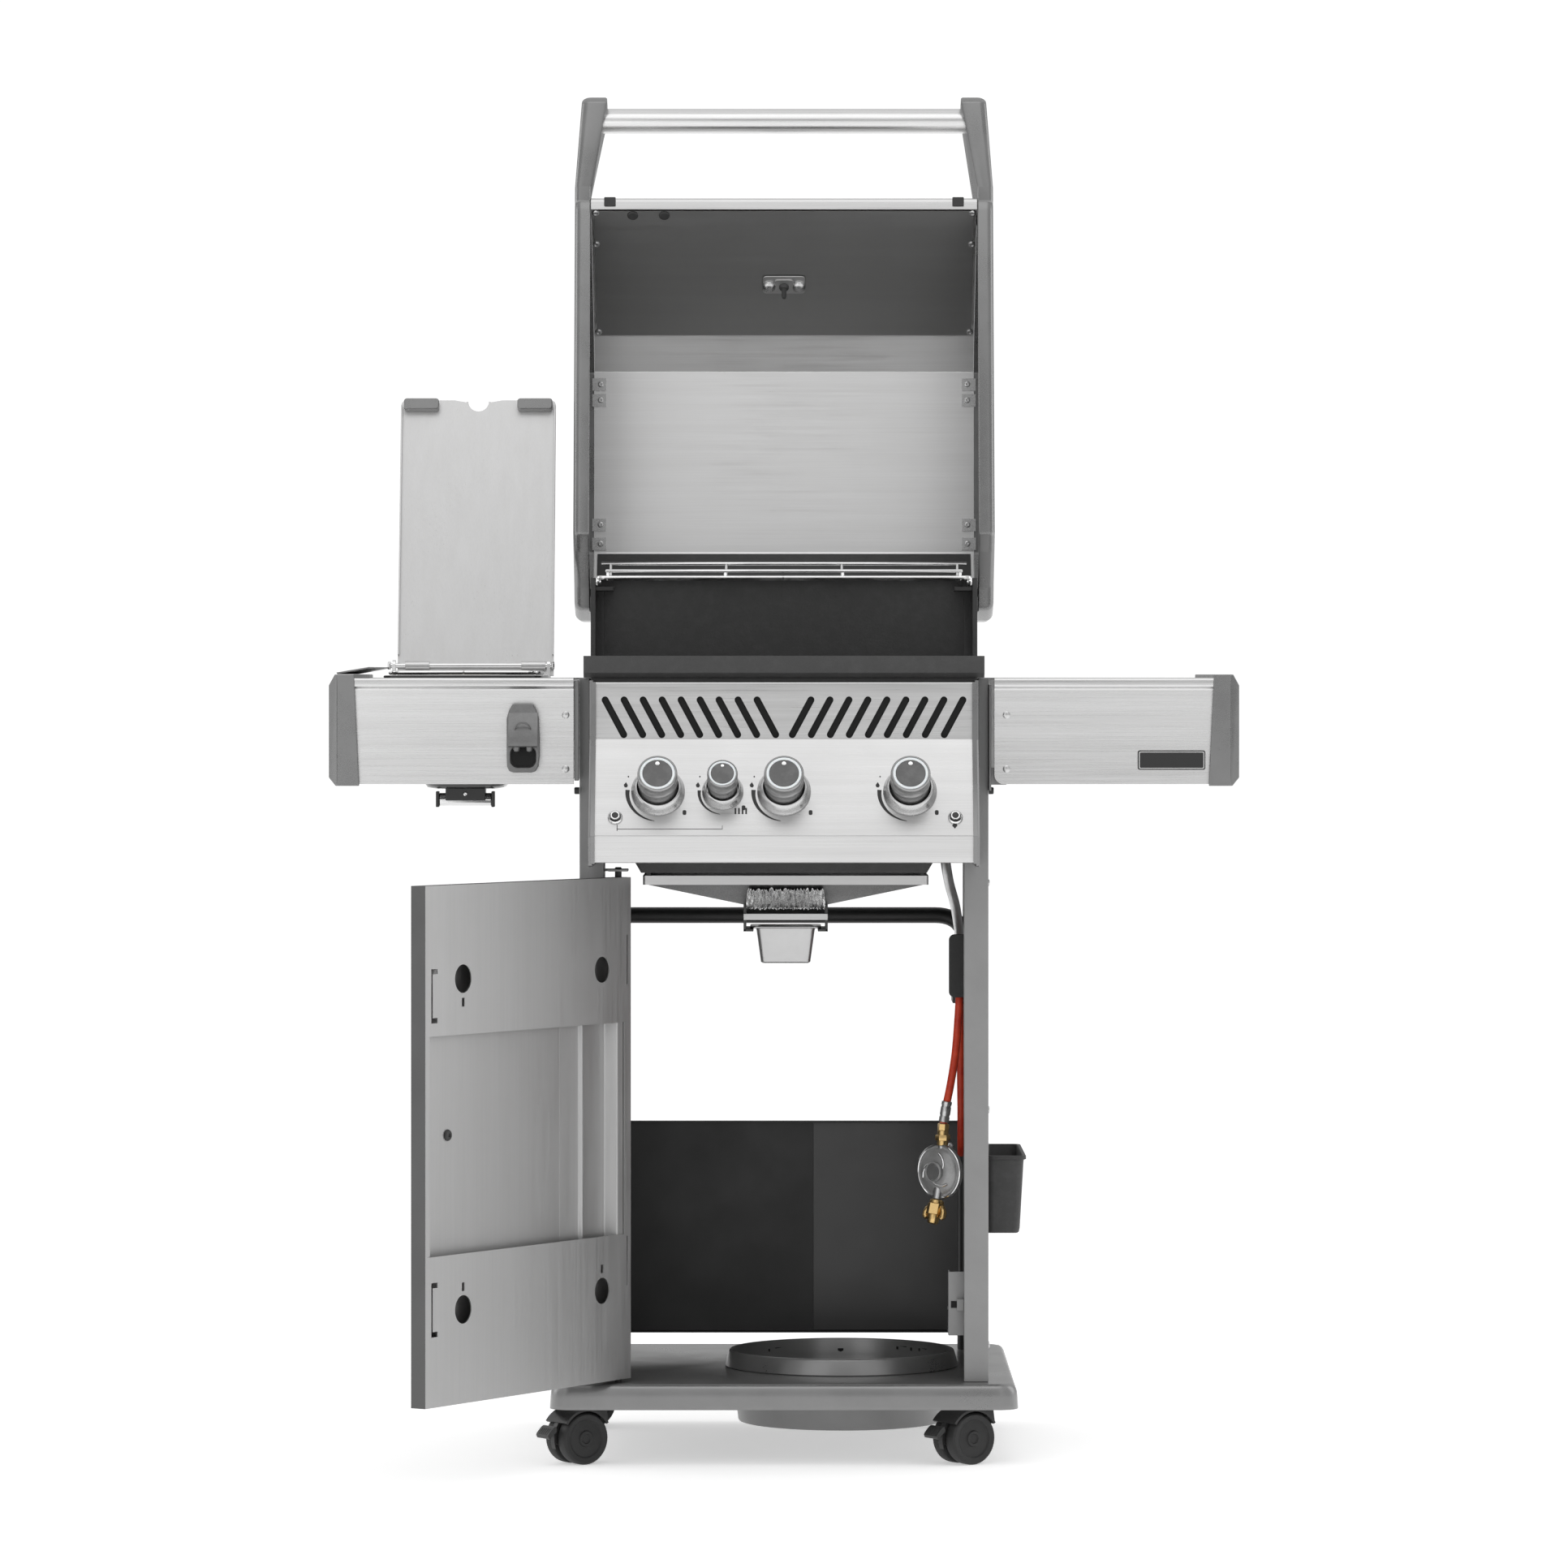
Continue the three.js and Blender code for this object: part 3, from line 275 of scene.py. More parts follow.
def painted(name, level, roughness, metallic, texture, coat=0.0, peel=700):
    """Powder coat: orange peel, slight unevenness of tone and dust that dulls it here and there."""
    s = Shader(name, grey(level), metallic, roughness, Coat_Weight=coat, Coat_Roughness=0.15)
    patches = s.noise(14, 4, 0.6)
    peel_field = s.noise(peel, 2, 0.5)
    s.tint(s.spread(patches, 0, 1), grey(level * 0.93), grey(level * 1.07))
    s.rough(s.add(s.spread(patches, roughness - 0.05, roughness + 0.07), s.spread(peel_field, -0.02, 0.02)))
    s.bump(peel_field, 0.16 * texture, 0.0003)
    return s.material


def cast(name, level, roughness, metallic, grain, depth):
    """Painted casting: a sandy skin over soft unevenness, rubbed a little lighter in places."""
    s = Shader(name, grey(level), metallic, roughness)
    sand = s.noise(grain, 4, 0.7)
    waves = s.noise(26, 3, 0.5)
    rubbed = s.noise(60, 5, 0.7)
    tone = s.add(s.spread(sand, -0.1, 0.45), s.spread(rubbed, 0, 0.65, 0.45, 0.75))
    s.tint(tone, grey(level * 0.88), grey(level * 1.2))
    s.rough(s.spread(sand, roughness - 0.08, roughness + 0.1))
    s.bump(waves, 0.12, 0.002)
    s.bump(sand, 0.35, depth)
    return s.material


def plastic(name, level, roughness, texture=0.25):
    """Moulded plastic with a fine spark-eroded grain and faint scuffs."""
    s = Shader(name, grey(level), 0.0, roughness, Specular_IOR_Level=0.45)
    grain = s.noise(1500, 2, 0.6)
    scuffs = s.noise(70, 4, 0.7)
    s.tint(s.spread(scuffs, 0, 1, 0.45, 0.8), grey(level), grey(level * 1.5))
    s.rough(s.add(s.spread(grain, roughness - 0.05, roughness + 0.05), s.spread(scuffs, 0, 0.12, 0.5, 0.8)))
    s.bump(grain, texture, 0.0002)
    return s.material


def bright(name, base, roughness, scratch=0.05):
    """Plated or polished metal: near mirror, with hairline marks and a little haze."""
    s = Shader(name, base, 1.0, roughness)
    marks = s.noise((240, 900, 900), 4, 0.7)
    haze = s.noise(22, 3, 0.6)
    s.tint(s.spread(haze, 0, 1), tuple(c * 0.93 for c in base), tuple(min(c * 1.04, 1) for c in base))
    s.rough(s.add(s.spread(marks, roughness - 0.03, roughness + 0.06), s.spread(haze, 0, 0.05)))
    s.bump(marks, scratch, 0.0001)
    return s.material


def foil_look():
    """Crumpled aluminium: sharp creases over a fine crumple."""
    s = Shader("foil", grey(0.82), 1.0, 0.22)
    creases = s.cells(120, "DISTANCE_TO_EDGE")
    crumple = s.noise(190, 5, 0.7)
    s.tint(s.spread(crumple, 0, 1), grey(0.70), grey(0.92))
    s.rough(s.spread(crumple, 0.16, 0.34))
    s.bump(creases, 0.5, 0.002)
    s.bump(crumple, 0.6, 0.002)
    return s.material


def hose_look():
    """Orange-red rubber with fine lengthwise mould lines and a bloom of dust."""
    s = Shader("hose_rubber", (0.48, 0.03, 0.012), 0.0, 0.45, Specular_IOR_Level=0.4)
    lines = s.noise((900, 900, 12), 2, 0.5)
    bloom = s.noise(60, 4, 0.6)
    s.tint(s.spread(bloom, 0, 1), (0.52, 0.028, 0.012), (0.74, 0.075, 0.026))
    s.rough(s.spread(bloom, 0.38, 0.56))
    s.bump(lines, 0.25, 0.0003)
    return s.material


def enamel_look():
    """Cast iron under matt enamel: pitted, with a seasoned brown-black cast."""
    s = Shader("enamelled_iron", (0.022, 0.021, 0.020), 0.0, 0.42, Specular_IOR_Level=0.6)
    pits = s.noise(650, 3, 0.6)
    season = s.noise(35, 4, 0.6)
    s.tint(s.spread(season, 0, 1), (0.014, 0.014, 0.014), (0.042, 0.037, 0.033))
    s.rough(s.add(s.spread(season, 0.34, 0.54), s.spread(pits, -0.04, 0.04)))
    s.bump(pits, 0.4, 0.0008)
    return s.material


def ceramic_look():
    """Perforated ceramic burner tile: rows of small flame holes."""
    s = Shader("ceramic", (0.62, 0.58, 0.50), 0.0, 0.8)
    holes = s.cells(330)
    patches = s.noise(40, 3, 0.6)
    # the flame holes are darkened in the colour: painted shade inside them; the patches are random tone
    s.tint(s.add(s.spread(holes, 0.1, 0.9, 0.18, 0.30), s.spread(patches, -0.1, 0.1)),
           (0.10, 0.09, 0.08), (0.66, 0.62, 0.54))
    s.bump(holes, 0.8, 0.0015)
    return s.material


def ring_look():
    """White translucent plastic of the rings on the knobs."""
    s = Shader("ring_white", (0.86, 0.86, 0.86), 0.0, 0.25, Subsurface_Weight=0.1, Specular_IOR_Level=0.5)
    clouds = s.noise(400, 2, 0.5)
    s.tint(s.spread(clouds, 0, 1), grey(0.84), grey(0.90))
    s.bump(clouds, 0.02, 0.0002)
    return s.material


LOOK_TABLES = {
    brushed: {  # level, grain, roughness, contrast, fine
        "steel_x": (0.67, "X", 0.27),
        "steel_panel": (0.60, "X", 0.32, 1.2),
        "steel_z": (0.62, "Z", 0.34, 0.5),
        "steel_lid": (0.74, "X", 0.36, 0.5),
        # darker copy of the lid steel for the liner inside the lid: painted shade
        "steel_shade": (0.35, "X", 0.40, 0.5),
        "bracket_steel": (0.50, "X", 0.42, 0.5),
        # near-dark copy of the tray steel for the funnel and cup rails: painted shade under the firebox
        "tray_shade": (0.10, "Y", 0.5, 0.8),
        "tube_steel": (0.70, "X", 0.24, 1.0, 1400),
        "plain_steel": (0.60, "X", 0.36, 0.7, 500),
        "grey_sheet": (0.50, "Z", 0.52, 0.35, 420),
    },
    painted: {  # level, roughness, metallic, texture, coat, peel
        "painted_grey": (0.24, 0.32, 0.6, 0.2, 0.35),
        "post_grey": (0.27, 0.46, 0.2, 0.6),
        "door_grey": (0.10, 0.40, 0.2, 0.6),
        "cast_grey": (0.24, 0.28, 0.8, 0.5),
        "black_paint": (0.011, 0.44, 0.0, 0.6),
        # lighter paint for the rear plate: painted sheen on the right of the rear panel, against the dark
        # sheet
        "graphite": (0.060, 0.36, 0.1, 0.3, 0.1),
        "black_enamel": (0.020, 0.22, 0.0, 0.5, 0.3, 300),
        "ink": (0.018, 0.5, 0.0, 0.3),
    },
    cast: {  # level, roughness, metallic, grain, depth
        "die_cast": (0.36, 0.36, 0.4, 600, 0.0003),
        "cast_light": (0.19, 0.38, 0.6, 500, 0.0004),
        "cast_dark": (0.055, 0.5, 0.2, 330, 0.0010),
    },
    plastic: {  # level, roughness, texture
        "black_plastic": (0.028, 0.42),
        "basket_plastic": (0.045, 0.5, 0.35),
        "caster_plastic": (0.022, 0.36),
        "caster_tread": (0.020, 0.6, 0.4),
        "knob_face": (0.115, 0.55, 0.5),
        # near-black: the catch magnet's own colour, and painted shade behind the vent slots, in the opener's
        # mouth and in the ring slots
        "void": (0.006, 0.8, 0.1),
    },
    bright: {  # colour, roughness, scratch
        "chrome": (grey(0.80), 0.10),
        "satin_chrome": (grey(0.60), 0.24, 0.08),
        "knob_metal": (grey(0.36), 0.28, 0.06),
        "zinc": (grey(0.60), 0.30, 0.20),
        "brass": ((0.72, 0.50, 0.22), 0.26, 0.12),
        "foil_smooth": (grey(0.56), 0.36, 0.10),
    },
}
LOOKS = {name: make(name, *values) for make, table in LOOK_TABLES.items() for name, values in table.items()}
LOOKS |= {"enamelled_iron": enamel_look(), "foil": foil_look(), "hose_rubber": hose_look(),
          "ceramic": ceramic_look(), "ring_white": ring_look()}


# ---------------------------------------------------------------- mesh tools
def catmull_rom(points, steps):
    """A smooth line through the points."""
    points = [Vector(p) for p in points]
    padded = [points[0] * 2 - points[1], *points, points[-1] * 2 - points[-2]]
    line = []
    for a, b, c, d in zip(padded, padded[1:], padded[2:], padded[3:]):
        for i in range(steps):
            t = i / steps
            line.append(0.5 * (2 * b + (c - a) * t + (2 * a - 5 * b + 4 * c - d) * t * t
                               + (3 * b - a - 3 * c + d) * t ** 3))
    return [*line, points[-1]]


def filleted(points, radius, steps=6):
    """The line with each corner rounded to the radius, or less where there is no room."""
    points = [Vector(p) for p in points]
    line = [points[0]]
    for a, b, c in zip(points, points[1:], points[2:]):
        u, v = (a - b), (c - b)
        half = u.angle(v) / 2
        reach = min(radius / math.tan(half), u.length * 0.49, v.length * 0.49)
        start, end = b + u.normalized() * reach, b + v.normalized() * reach
        for i in range(steps + 1):
            t = i / steps
            line.append(start * (1 - t) ** 2 + b * 2 * t * (1 - t) + end * t * t)
    return [*line, points[-1]]


def ribbon(line, thickness):
    """Outline of a sheet that follows the 2D line, thickened to its left (or right if negative)."""
    line = [Vector(p) for p in line]
    side = []
    for i, p in enumerate(line):
        a = (p - line[i - 1]).normalized() if i else None
        b = (line[i + 1] - p).normalized() if i + 1 < len(line) else None
        a, b = a or b, b or a
        m = Vector((-a.y - b.y, a.x + b.x)).normalized()
        side.append(p + m * (thickness / max(m.dot(Vector((-a.y, a.x))), 0.3)))
    return [*line, *reversed(side)]


def smooth_outline(corners, radius, steps=4):
    """The closed outline with rounded corners, counter-clockwise."""
    corners = [Vector(p) for p in corners]
    start = (corners[0] + corners[-1]) / 2
    line = filleted([start, *corners, start], radius, steps)[:-1]
    area = sum(a.cross(b) for a, b in zip(line, [*line[1:], line[0]]))
    return line if area > 0 else line[::-1]


def moved_in(outline, distance):
    """The counter-clockwise outline, each side moved inwards."""
    moved = []
    for a, b, c in zip([outline[-1], *outline[:-1]], outline, [*outline[1:], outline[0]]):
        u, v = (b - a).normalized(), (c - b).normalized()
        inward = Vector((-u.y - v.y, u.x + v.x)).normalized()
        moved.append(b + inward * (distance / max(inward.dot(Vector((-u.y, u.x))), 0.4)))
    return moved


def rounded_rect(x0, x1, y0, y1, r, steps=6):
    """Outline of a rectangle with round corners, counter-clockwise."""
    corners = [(x1 - r, y0 + r, -90), (x1 - r, y1 - r, 0), (x0 + r, y1 - r, 90), (x0 + r, y0 + r, 180)]
    points = []
    for cx, cy, start in corners:
        for i in range(steps + 1):
            angle = rad(start + 90 * i / steps)
            points.append((cx + r * math.cos(angle), cy + r * math.sin(angle)))
    return points


def rect_rings(rows, steps=6):
    """Level rounded rectangles, each from a row of (x0, x1, y0, y1, z, corner radius)."""
    return [[(x, y, z) for x, y in rounded_rect(x0, x1, y0, y1, r, steps)] for x0, x1, y0, y1, z, r in rows]


def circle(r, h, sides):
    turns = [2 * math.pi * i / sides for i in range(sides)]
    return [(r * math.cos(a), r * math.sin(a), h) for a in turns]


def arc(cx, cy, r, start, end, steps):
    angles = [rad(start + (end - start) * i / steps) for i in range(steps + 1)]
    return [(cx + r * math.cos(a), cy + r * math.sin(a)) for a in angles]


class Build:
    """Collects simple shapes in a local frame and makes one piece of them."""

    def __init__(self, place=WORLD):
        self.place, self.verts, self.faces = place, [], []

    def add(self, verts, faces, at=None):
        m = self.place @ at if at is not None else self.place
        n = len(self.verts)
        self.verts += [m @ Vector(v) for v in verts]
        self.faces += [tuple(i + n for i in f) for f in faces]
        return self

    def loops(self, rings, at=None, closed=False):
        """Skin over rings of the same count, capped at both ends unless closed."""
        n = len(rings[0])
        verts = [v for ring in rings for v in ring]
        faces = []
        pairs = len(rings) if closed else len(rings) - 1
        for k in range(pairs):
            a, b = k * n, ((k + 1) % len(rings)) * n
            faces += [(a + i, a + (i + 1) % n, b + (i + 1) % n, b + i) for i in range(n)]
        if not closed:
            faces += [tuple(range(n))[::-1], tuple(range(len(verts) - n, len(verts)))]
        return self.add(verts, faces, at)

    def prism(self, outline, lo, hi, axis="X", at=None):
        """Outline in (y, z) drawn along X, in (x, z) along Y or in (x, y) along Z."""
        def put(a, b, t):
            return {"X": (t, a, b), "Y": (a, t, b), "Z": (a, b, t)}[axis]
        return self.loops([[put(p[0], p[1], t) for p in outline] for t in (lo, hi)], at)

    def box(self, x0, x1, y0, y1, z0, z1, at=None):
        return self.prism([(x0, y0), (x1, y0), (x1, y1), (x0, y1)], z0, z1, "Z", at)

    def turned(self, profile, at=None, sides=48):
        """Profile of (radius, height) turned about the local Z axis; it starts and ends on the axis."""
        verts, rings = [], []
        for r, h in profile:
            if r < 1e-6:
                rings.append([len(verts)] * sides)
                verts.append((0, 0, h))
                continue
            rings.append(list(range(len(verts), len(verts) + sides)))
            verts += circle(r, h, sides)
        faces = []
        for a, b in zip(rings, rings[1:]):
            for i in range(sides):
                j = (i + 1) % sides
                face = tuple(dict.fromkeys((a[i], a[j], b[j], b[i])))
                if len(face) > 2:
                    faces.append(face)
        return self.add(verts, faces, at)

    def ring(self, profile, at=None, sides=48):
        """A closed profile of (radius, height) turned about the local Z axis."""
        return self.loops([circle(r, h, sides) for r, h in profile], at, closed=True)

    def tube(self, line, radius, sides=16, at=None):
        """A round bar along the line; radius is one number or one for each point."""
        line = [Vector(p) for p in line]
        radii = radius if hasattr(radius, "__len__") else [radius] * len(line)
        heading = (line[1] - line[0]).normalized()
        across = heading.orthogonal().normalized()
        rings = []
        for i, (p, r) in enumerate(zip(line, radii)):
            ahead = line[min(i + 1, len(line) - 1)] - line[max(i - 1, 0)]
            across = heading.rotation_difference(ahead.normalized()) @ across
            heading = ahead.normalized()
            across = (across - heading * across.dot(heading)).normalized()
            up = heading.cross(across)
            rings.append([p + (across * math.cos(2 * math.pi * k / sides)
                               + up * math.sin(2 * math.pi * k / sides)) * r for k in range(sides)])
        return self.loops(rings, at)

    def rod(self, start, end, radius, sides=16, ease=0.8):
        """A straight bar with eased ends."""
        a, b = Vector(start), Vector(end)
        d = (b - a).normalized()
        ease = min(ease, radius * 0.5)
        return self.tube([a, a + d * ease, b - d * ease, b], [radius - ease, radius, radius, radius - ease],
                         sides)

    def screw(self, at, radius=4.0, height=2.4):
        """Pan head with a hexagon socket, its Z out of the surface."""
        h, r = height, radius
        return self.turned([(0, -0.5), (r, -0.5), (r, 0.3 * h), (0.86 * r, 0.8 * h), (0.6 * r, h),
                            (0.5 * r, h), (0.5 * r, 0.55 * h), (0, 0.5 * h)], at, 18)

    def make(self, name, body, look, slot=None, replaces=(), bevel=0.0, segments=2, sharp=32, cut=None):
        """One piece that rides the body and stands in for the CAD nodes it replaces."""
        mesh = bpy.data.meshes.new(name)
        mesh.from_pydata(self.verts, [], self.faces)
        face_outwards(mesh)
        piece = bpy.data.objects.new(name, mesh)
        scene.collection.objects.link(piece)
        if cut is not None:
            carve(piece, cut)
        dress(piece, look, bevel, segments, sharp)
        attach(piece, body)
        if replaces:
            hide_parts(*replaces)
        return piece


def face_outwards(mesh):
    work = bmesh.new()
    work.from_mesh(mesh)
    bmesh.ops.recalc_face_normals(work, faces=work.faces)
    work.to_mesh(mesh)
    work.free()


def carve(piece, cutter):
    """Takes the cutter's shapes out of the piece."""
    mesh = bpy.data.meshes.new("cutter")
    mesh.from_pydata(cutter.verts, [], cutter.faces)
    face_outwards(mesh)
    tool = bpy.data.objects.new("cutter", mesh)
    scene.collection.objects.link(tool)
    step = piece.modifiers.new("cut", "BOOLEAN")
    step.operation, step.solver, step.object = "DIFFERENCE", "EXACT", tool
    step.use_self = True
    bpy.context.view_layer.update()
    result = bpy.data.meshes.new_from_object(piece.evaluated_get(bpy.context.evaluated_depsgraph_get()))
    piece.modifiers.clear()
    piece.data = result
    bpy.data.objects.remove(tool)


def dress(piece, look, bevel, segments, sharp):
    """Look, shading and eased edges; edges sharper than the angle sharp stay crisp."""
    mesh = piece.data
    mesh.materials.clear()
    mesh.materials.append(LOOKS[look])
    mesh.shade_smooth()
    mesh.set_sharp_from_angle(angle=rad(sharp))
    if bevel:
        edge = piece.modifiers.new("edge", "BEVEL")
        edge.width = bevel / 1000
        edge.segments = segments
        edge.limit_method = "ANGLE"
        edge.angle_limit = rad(sharp)
        edge.use_clamp_overlap = True
        edge.harden_normals = True


def refined(node, body, look, bevel=0.8, segments=2, sharp=32):
    """A copy of a CAD node with its flat faces merged and its edges eased."""
    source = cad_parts[node].data
    work = bmesh.new()
    work.from_mesh(source)
    bmesh.ops.remove_doubles(work, verts=work.verts, dist=1e-6)
    bmesh.ops.dissolve_limit(work, angle_limit=rad(0.6), verts=work.verts, edges=work.edges)
    bmesh.ops.recalc_face_normals(work, faces=work.faces)
    mesh = bpy.data.meshes.new(node)
    work.to_mesh(mesh)
    work.free()
    piece = bpy.data.objects.new(node + "_fine", mesh)
    scene.collection.objects.link(piece)
    dress(piece, look, bevel, segments, sharp)
    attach(piece, body)
    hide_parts(node)
    return piece


# ---------------------------------------------------------------- gas hose, its fittings and the regulator
HOSE_ROUTE = [
    (219, 300, 461), (218.5, 300, 440), (218, 300, 418), (217.5, 299, 396), (217, 287, 368),
    (216.5, 259, 354), (216, 231, 368), (215.5, 219, 396), (215, 218, 430), (214.5, 218, 470),
    (214, 218, 510), (213.5, 218, 548), (213, 206.3, 576.3), (212.5, 178, 588), (212, 149.7, 576.3),
    (211, 138, 548), (209, 138, 515), (206, 138, 480), (200.5, 138, 445), (195, 138, 418), (192, 138, 398),
]
HOSE_DIAMETER = 9.5
REGULATOR = WORLD @ shift(188, 138, 340) @ turn(-40, "Z") @ turn(90, "X")


def ferrules():
    """Crimped sleeves on both ends of the hose."""
    crimp = [(0, 5.2), (0.03, 6.3), (0.16, 6.3), (0.2, 5.7), (0.26, 5.7), (0.3, 6.3), (0.62, 6.3),
             (0.66, 5.7), (0.72, 5.7), (0.76, 6.3), (0.97, 6.3), (1, 5.2)]
    made = Build()
    for start, end in (((219, 300, 460.2), (218.4, 300, 434)), ((196.2, 138, 424.5), (192.1, 138, 399))):
        a, b = Vector(start), Vector(end)
        made.tube([a.lerp(b, t) for t, r in crimp], [r for t, r in crimp], 24)
    return made.make("hose_ferrules", "cart", "zinc", "zinc", bevel=0.2)


def end_fitting():
    made = Build()
    made.rod((191.95, 138, 397.6), (191.4, 138, 389), 7.2, 6)
    made.rod((191.5, 138, 390), (190.8, 138, 371), 6.9, 24)
    made.ring([(5.4, -2), (8.6, -2), (9.2, -1), (9.2, 4), (8.6, 5), (5.4, 5)], shift(191.1, 138, 379), 6)
    return made.make("hose_end_fitting", "cart", "brass", "brass", bevel=0.4)


def regulator():
    """Die-cast body with three curved ribs, a boss, and a neck at each end."""
    ribs = Build(REGULATOR)
    for i in range(3):
        wave = [(13 + 9 * t, rad(20 + 120 * i + 60 * t)) for t in (0, 0.25, 0.5, 0.75, 1)]
        ribs.tube([(r * math.cos(a), r * math.sin(a), 10.6 - 0.28 * (r - 10)) for r, a in wave], 1.7, 10)
    ribs.ring([(30.6, 2), (33.1, 2), (33.1, 3.4), (32.2, 4), (31.4, 4), (30.6, 3.4)], None, 72)
    body = Build(REGULATOR)
    body.turned([(0, 13.8), (9, 13.8), (10.4, 13), (10.8, 11), (11.6, 10), (16, 9.7), (18, 9.2), (20, 8.2),
                 (25.5, 6.2), (27.4, 4.6), (28.4, 3.4), (32.4, 3.1), (33, 2.5), (33, -2.5), (32.4, -3.1),
                 (28.4, -3.4), (27, -6), (23, -9.5), (16, -12.6), (9, -13.8), (0, -13.8)], None, 72)
    body.ring([(10.4, 12), (12.2, 10), (12.2, 13.6), (11.7, 14.2), (10.9, 14.2), (10.4, 13.6)], None, 40)
    boss = Build(REGULATOR).turned([(0, 13.6), (8.8, 13.6), (9.4, 14.2), (9.2, 15), (0, 15)], None, 40)
    necks = Build()
    necks.tube([(187.2, 136.4, 322), (186, 135, 314), (184.5, 133, 306.3)], [7, 6.6, 6.2], 24)
    necks.tube([(190.4, 138, 356), (190.8, 138, 366), (191, 138, 372)], [6.6, 6.0, 6.0], 24)
    ribs = ribs.make("regulator_ribs", "cart", "chrome", "zinc")
    body = body.make("regulator_body", "cart", "die_cast", "zinc", ["regulator"], bevel=0.25)
    boss = boss.make("regulator_boss", "cart", "cast_light", "zinc", bevel=0.2)
    return [body, ribs, boss, necks.make("regulator_necks", "cart", "zinc", "zinc", bevel=0.3)]


def coupling_nut():
    """Collar, hexagon and nose along one line, with two wings to grip."""
    top, low = Vector((184.2, 132.6, 305.4)), Vector((178.4, 126.6, 277.6))
    along = (low - top).normalized()
    nut = Build()
    for stops, radii, sides in (((0, 0.8, 4, 4.8), [8, 8.8, 8.8, 8], 24),
                                ((4.4, 5.2, 17.6, 18.4), [10, 10.8, 10.8, 10], 6),
                                ((18, 20, 27, 28.6), [7.8, 7.8, 6.6, 5.6], 24)):
        nut.tube([top + along * s for s in stops], radii, sides)
    across = along.cross(Vector((-0.643, -0.766, 0))).normalized()
    wing = ((8, 8), (11, 11.5), (15, 13.6), (19.5, 13.4), (22, 11.2))
    for s in (-1, 1):
        nut.tube([top + along * h + across * s * w for h, w in wing], [3.4, 3.8, 4.0, 3.8, 2.8], 12)
    return nut.make("coupling_nut", "cart", "brass", "brass", ["regulator_nut"], bevel=0.35)


def hose():
    line = catmull_rom(HOSE_ROUTE, 8)
    length = sum((b - a).length for a, b in zip(line, line[1:])) / 1000
    path = [WORLD @ p for p in line]
    piece = Build().tube(line, HOSE_DIAMETER / 2, 20).make(
        "gas_hose_rubber", "cart", "hose_rubber", "hose_rubber", ["gas_hose"])
    carried = [ferrules(), end_fitting(), *regulator(), coupling_nut()]
    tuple(path[0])


hose()


# ---------------------------------------------------------------- base and casters
BASE_HALF, BASE_DEPTH = 278.0, 515.0
PAN = shift(70, 240, 0)
CASTER_TURN, CASTER_TRAIL, WHEEL_RADIUS = 35, 20, 31
CASTERS = [("front_left", -230, 48), ("front_right", 230, 48), ("rear_left", -230, 462),
           ("rear_right", 230, 462)]


def base():
    """Pressed tray: its skirt leans in by the flare towards the top."""
    rings = []
    for inset, z, flare in ((9, 94, 2), (2.4, 72, 1), (1.6, 67.4, 0), (0.4, 67, 0), (0, 67.6, 0),
                            (0, 71, 0.2), (0, 82, 0.9), (0.2, 87, 1.2), (1.2, 91, 1.5), (3.0, 94.4, 1.8),
                            (5.6, 96.4, 2), (9, 97, 2)):
        outline = rounded_rect(inset - BASE_HALF, BASE_HALF - inset, inset, BASE_DEPTH - inset,
                               max(24 - inset, 4), 10)
        rings.append([(x * (1 - flare / BASE_HALF), y, z) for x, y in outline])
    hole = Build().turned([(0, 60), (136, 60), (136, 110), (0, 110)], PAN, 96)
    Build().loops(rings).make("base_deck", "cart", "painted_grey", "painted_grey", ["base_tray"], sharp=40,
                              cut=hole)


def cylinder_pan():
    """Round pan for the foot of the gas cylinder, with marks pressed into its rim and ribs on its floor."""
    pan = Build()
    pan.turned([(0, 30), (122.5, 30), (124.6, 30.6), (125.8, 32.4), (133.6, 95.2), (134.6, 97.2),
                (141.4, 97.3), (142, 98.2), (137.4, 114.8), (136.2, 116.6), (134.6, 117.2), (133.2, 116.4),
                (132.6, 114.6), (131.4, 97.6), (123.4, 34.6), (121.8, 33), (0, 33)], PAN, 96)
    pan.make("cylinder_ring", "cart", "painted_grey", "painted_grey", sharp=40)
    # the slots in the rim are near-black boxes: painted shade standing in for the openings
    marks = Build()
    for angle, z, wide, high in ((90, 101, 7, 7), (58, 105, 3, 7), (54, 108.5, 12, 1.6), (49, 105, 3, 7),
                                 (43, 105, 3, 7), (39, 108, 10, 1.6), (132, 104, 3, 6), (126, 107, 12, 1.6)):
        r = 132.2 + (z - 97) * 0.07
        spot = PAN @ shift(0, 0, z) @ turn(angle, "Z") @ shift(r - 0.6, 0, 0)
        marks.box(-0.3, 0.5, -wide / 2, wide / 2, -high / 2, high / 2, spot)
    marks.make("ring_slots_painted_shade", "cart", "void")
    ribs = Build()
    for a in range(0, 360, 30):
        ribs.box(118, 124.6, -1.6, 1.6, 30.6, 33.6, PAN @ turn(a, "Z"))
    ribs.ring([(60, 32.4), (62, 34.2), (100, 34.2), (102, 32.4)], PAN, 72)
    ribs.make("pan_ribs", "cart", "painted_grey", bevel=0.4)


def caster_wheels(name, hub):
    """Twin wheels: one half of the profile, and its mirror image."""
    side = [(0, 20), (5, 20), (6, 21.4), (9, 21.4), (10, 19.6), (21.5, 19.2), (23, 20.8), (26.5, 21.6),
            (28.4, 22), (29.8, 21.2), (30.7, 19.6), (31, 17.8), (31, 7.6), (30.4, 5.8), (29, 5), (9, 5),
            (8, 5.6), (5, 5.6)]
    wheels = Build(hub).turned(side + [(r, -h) for r, h in reversed(side)], None, 56)
    wheels.make(name + "_twin_wheels", name + "_wheel_pair", "caster_tread", "caster_tread",
                [name + "_wheels"], bevel=0.25)


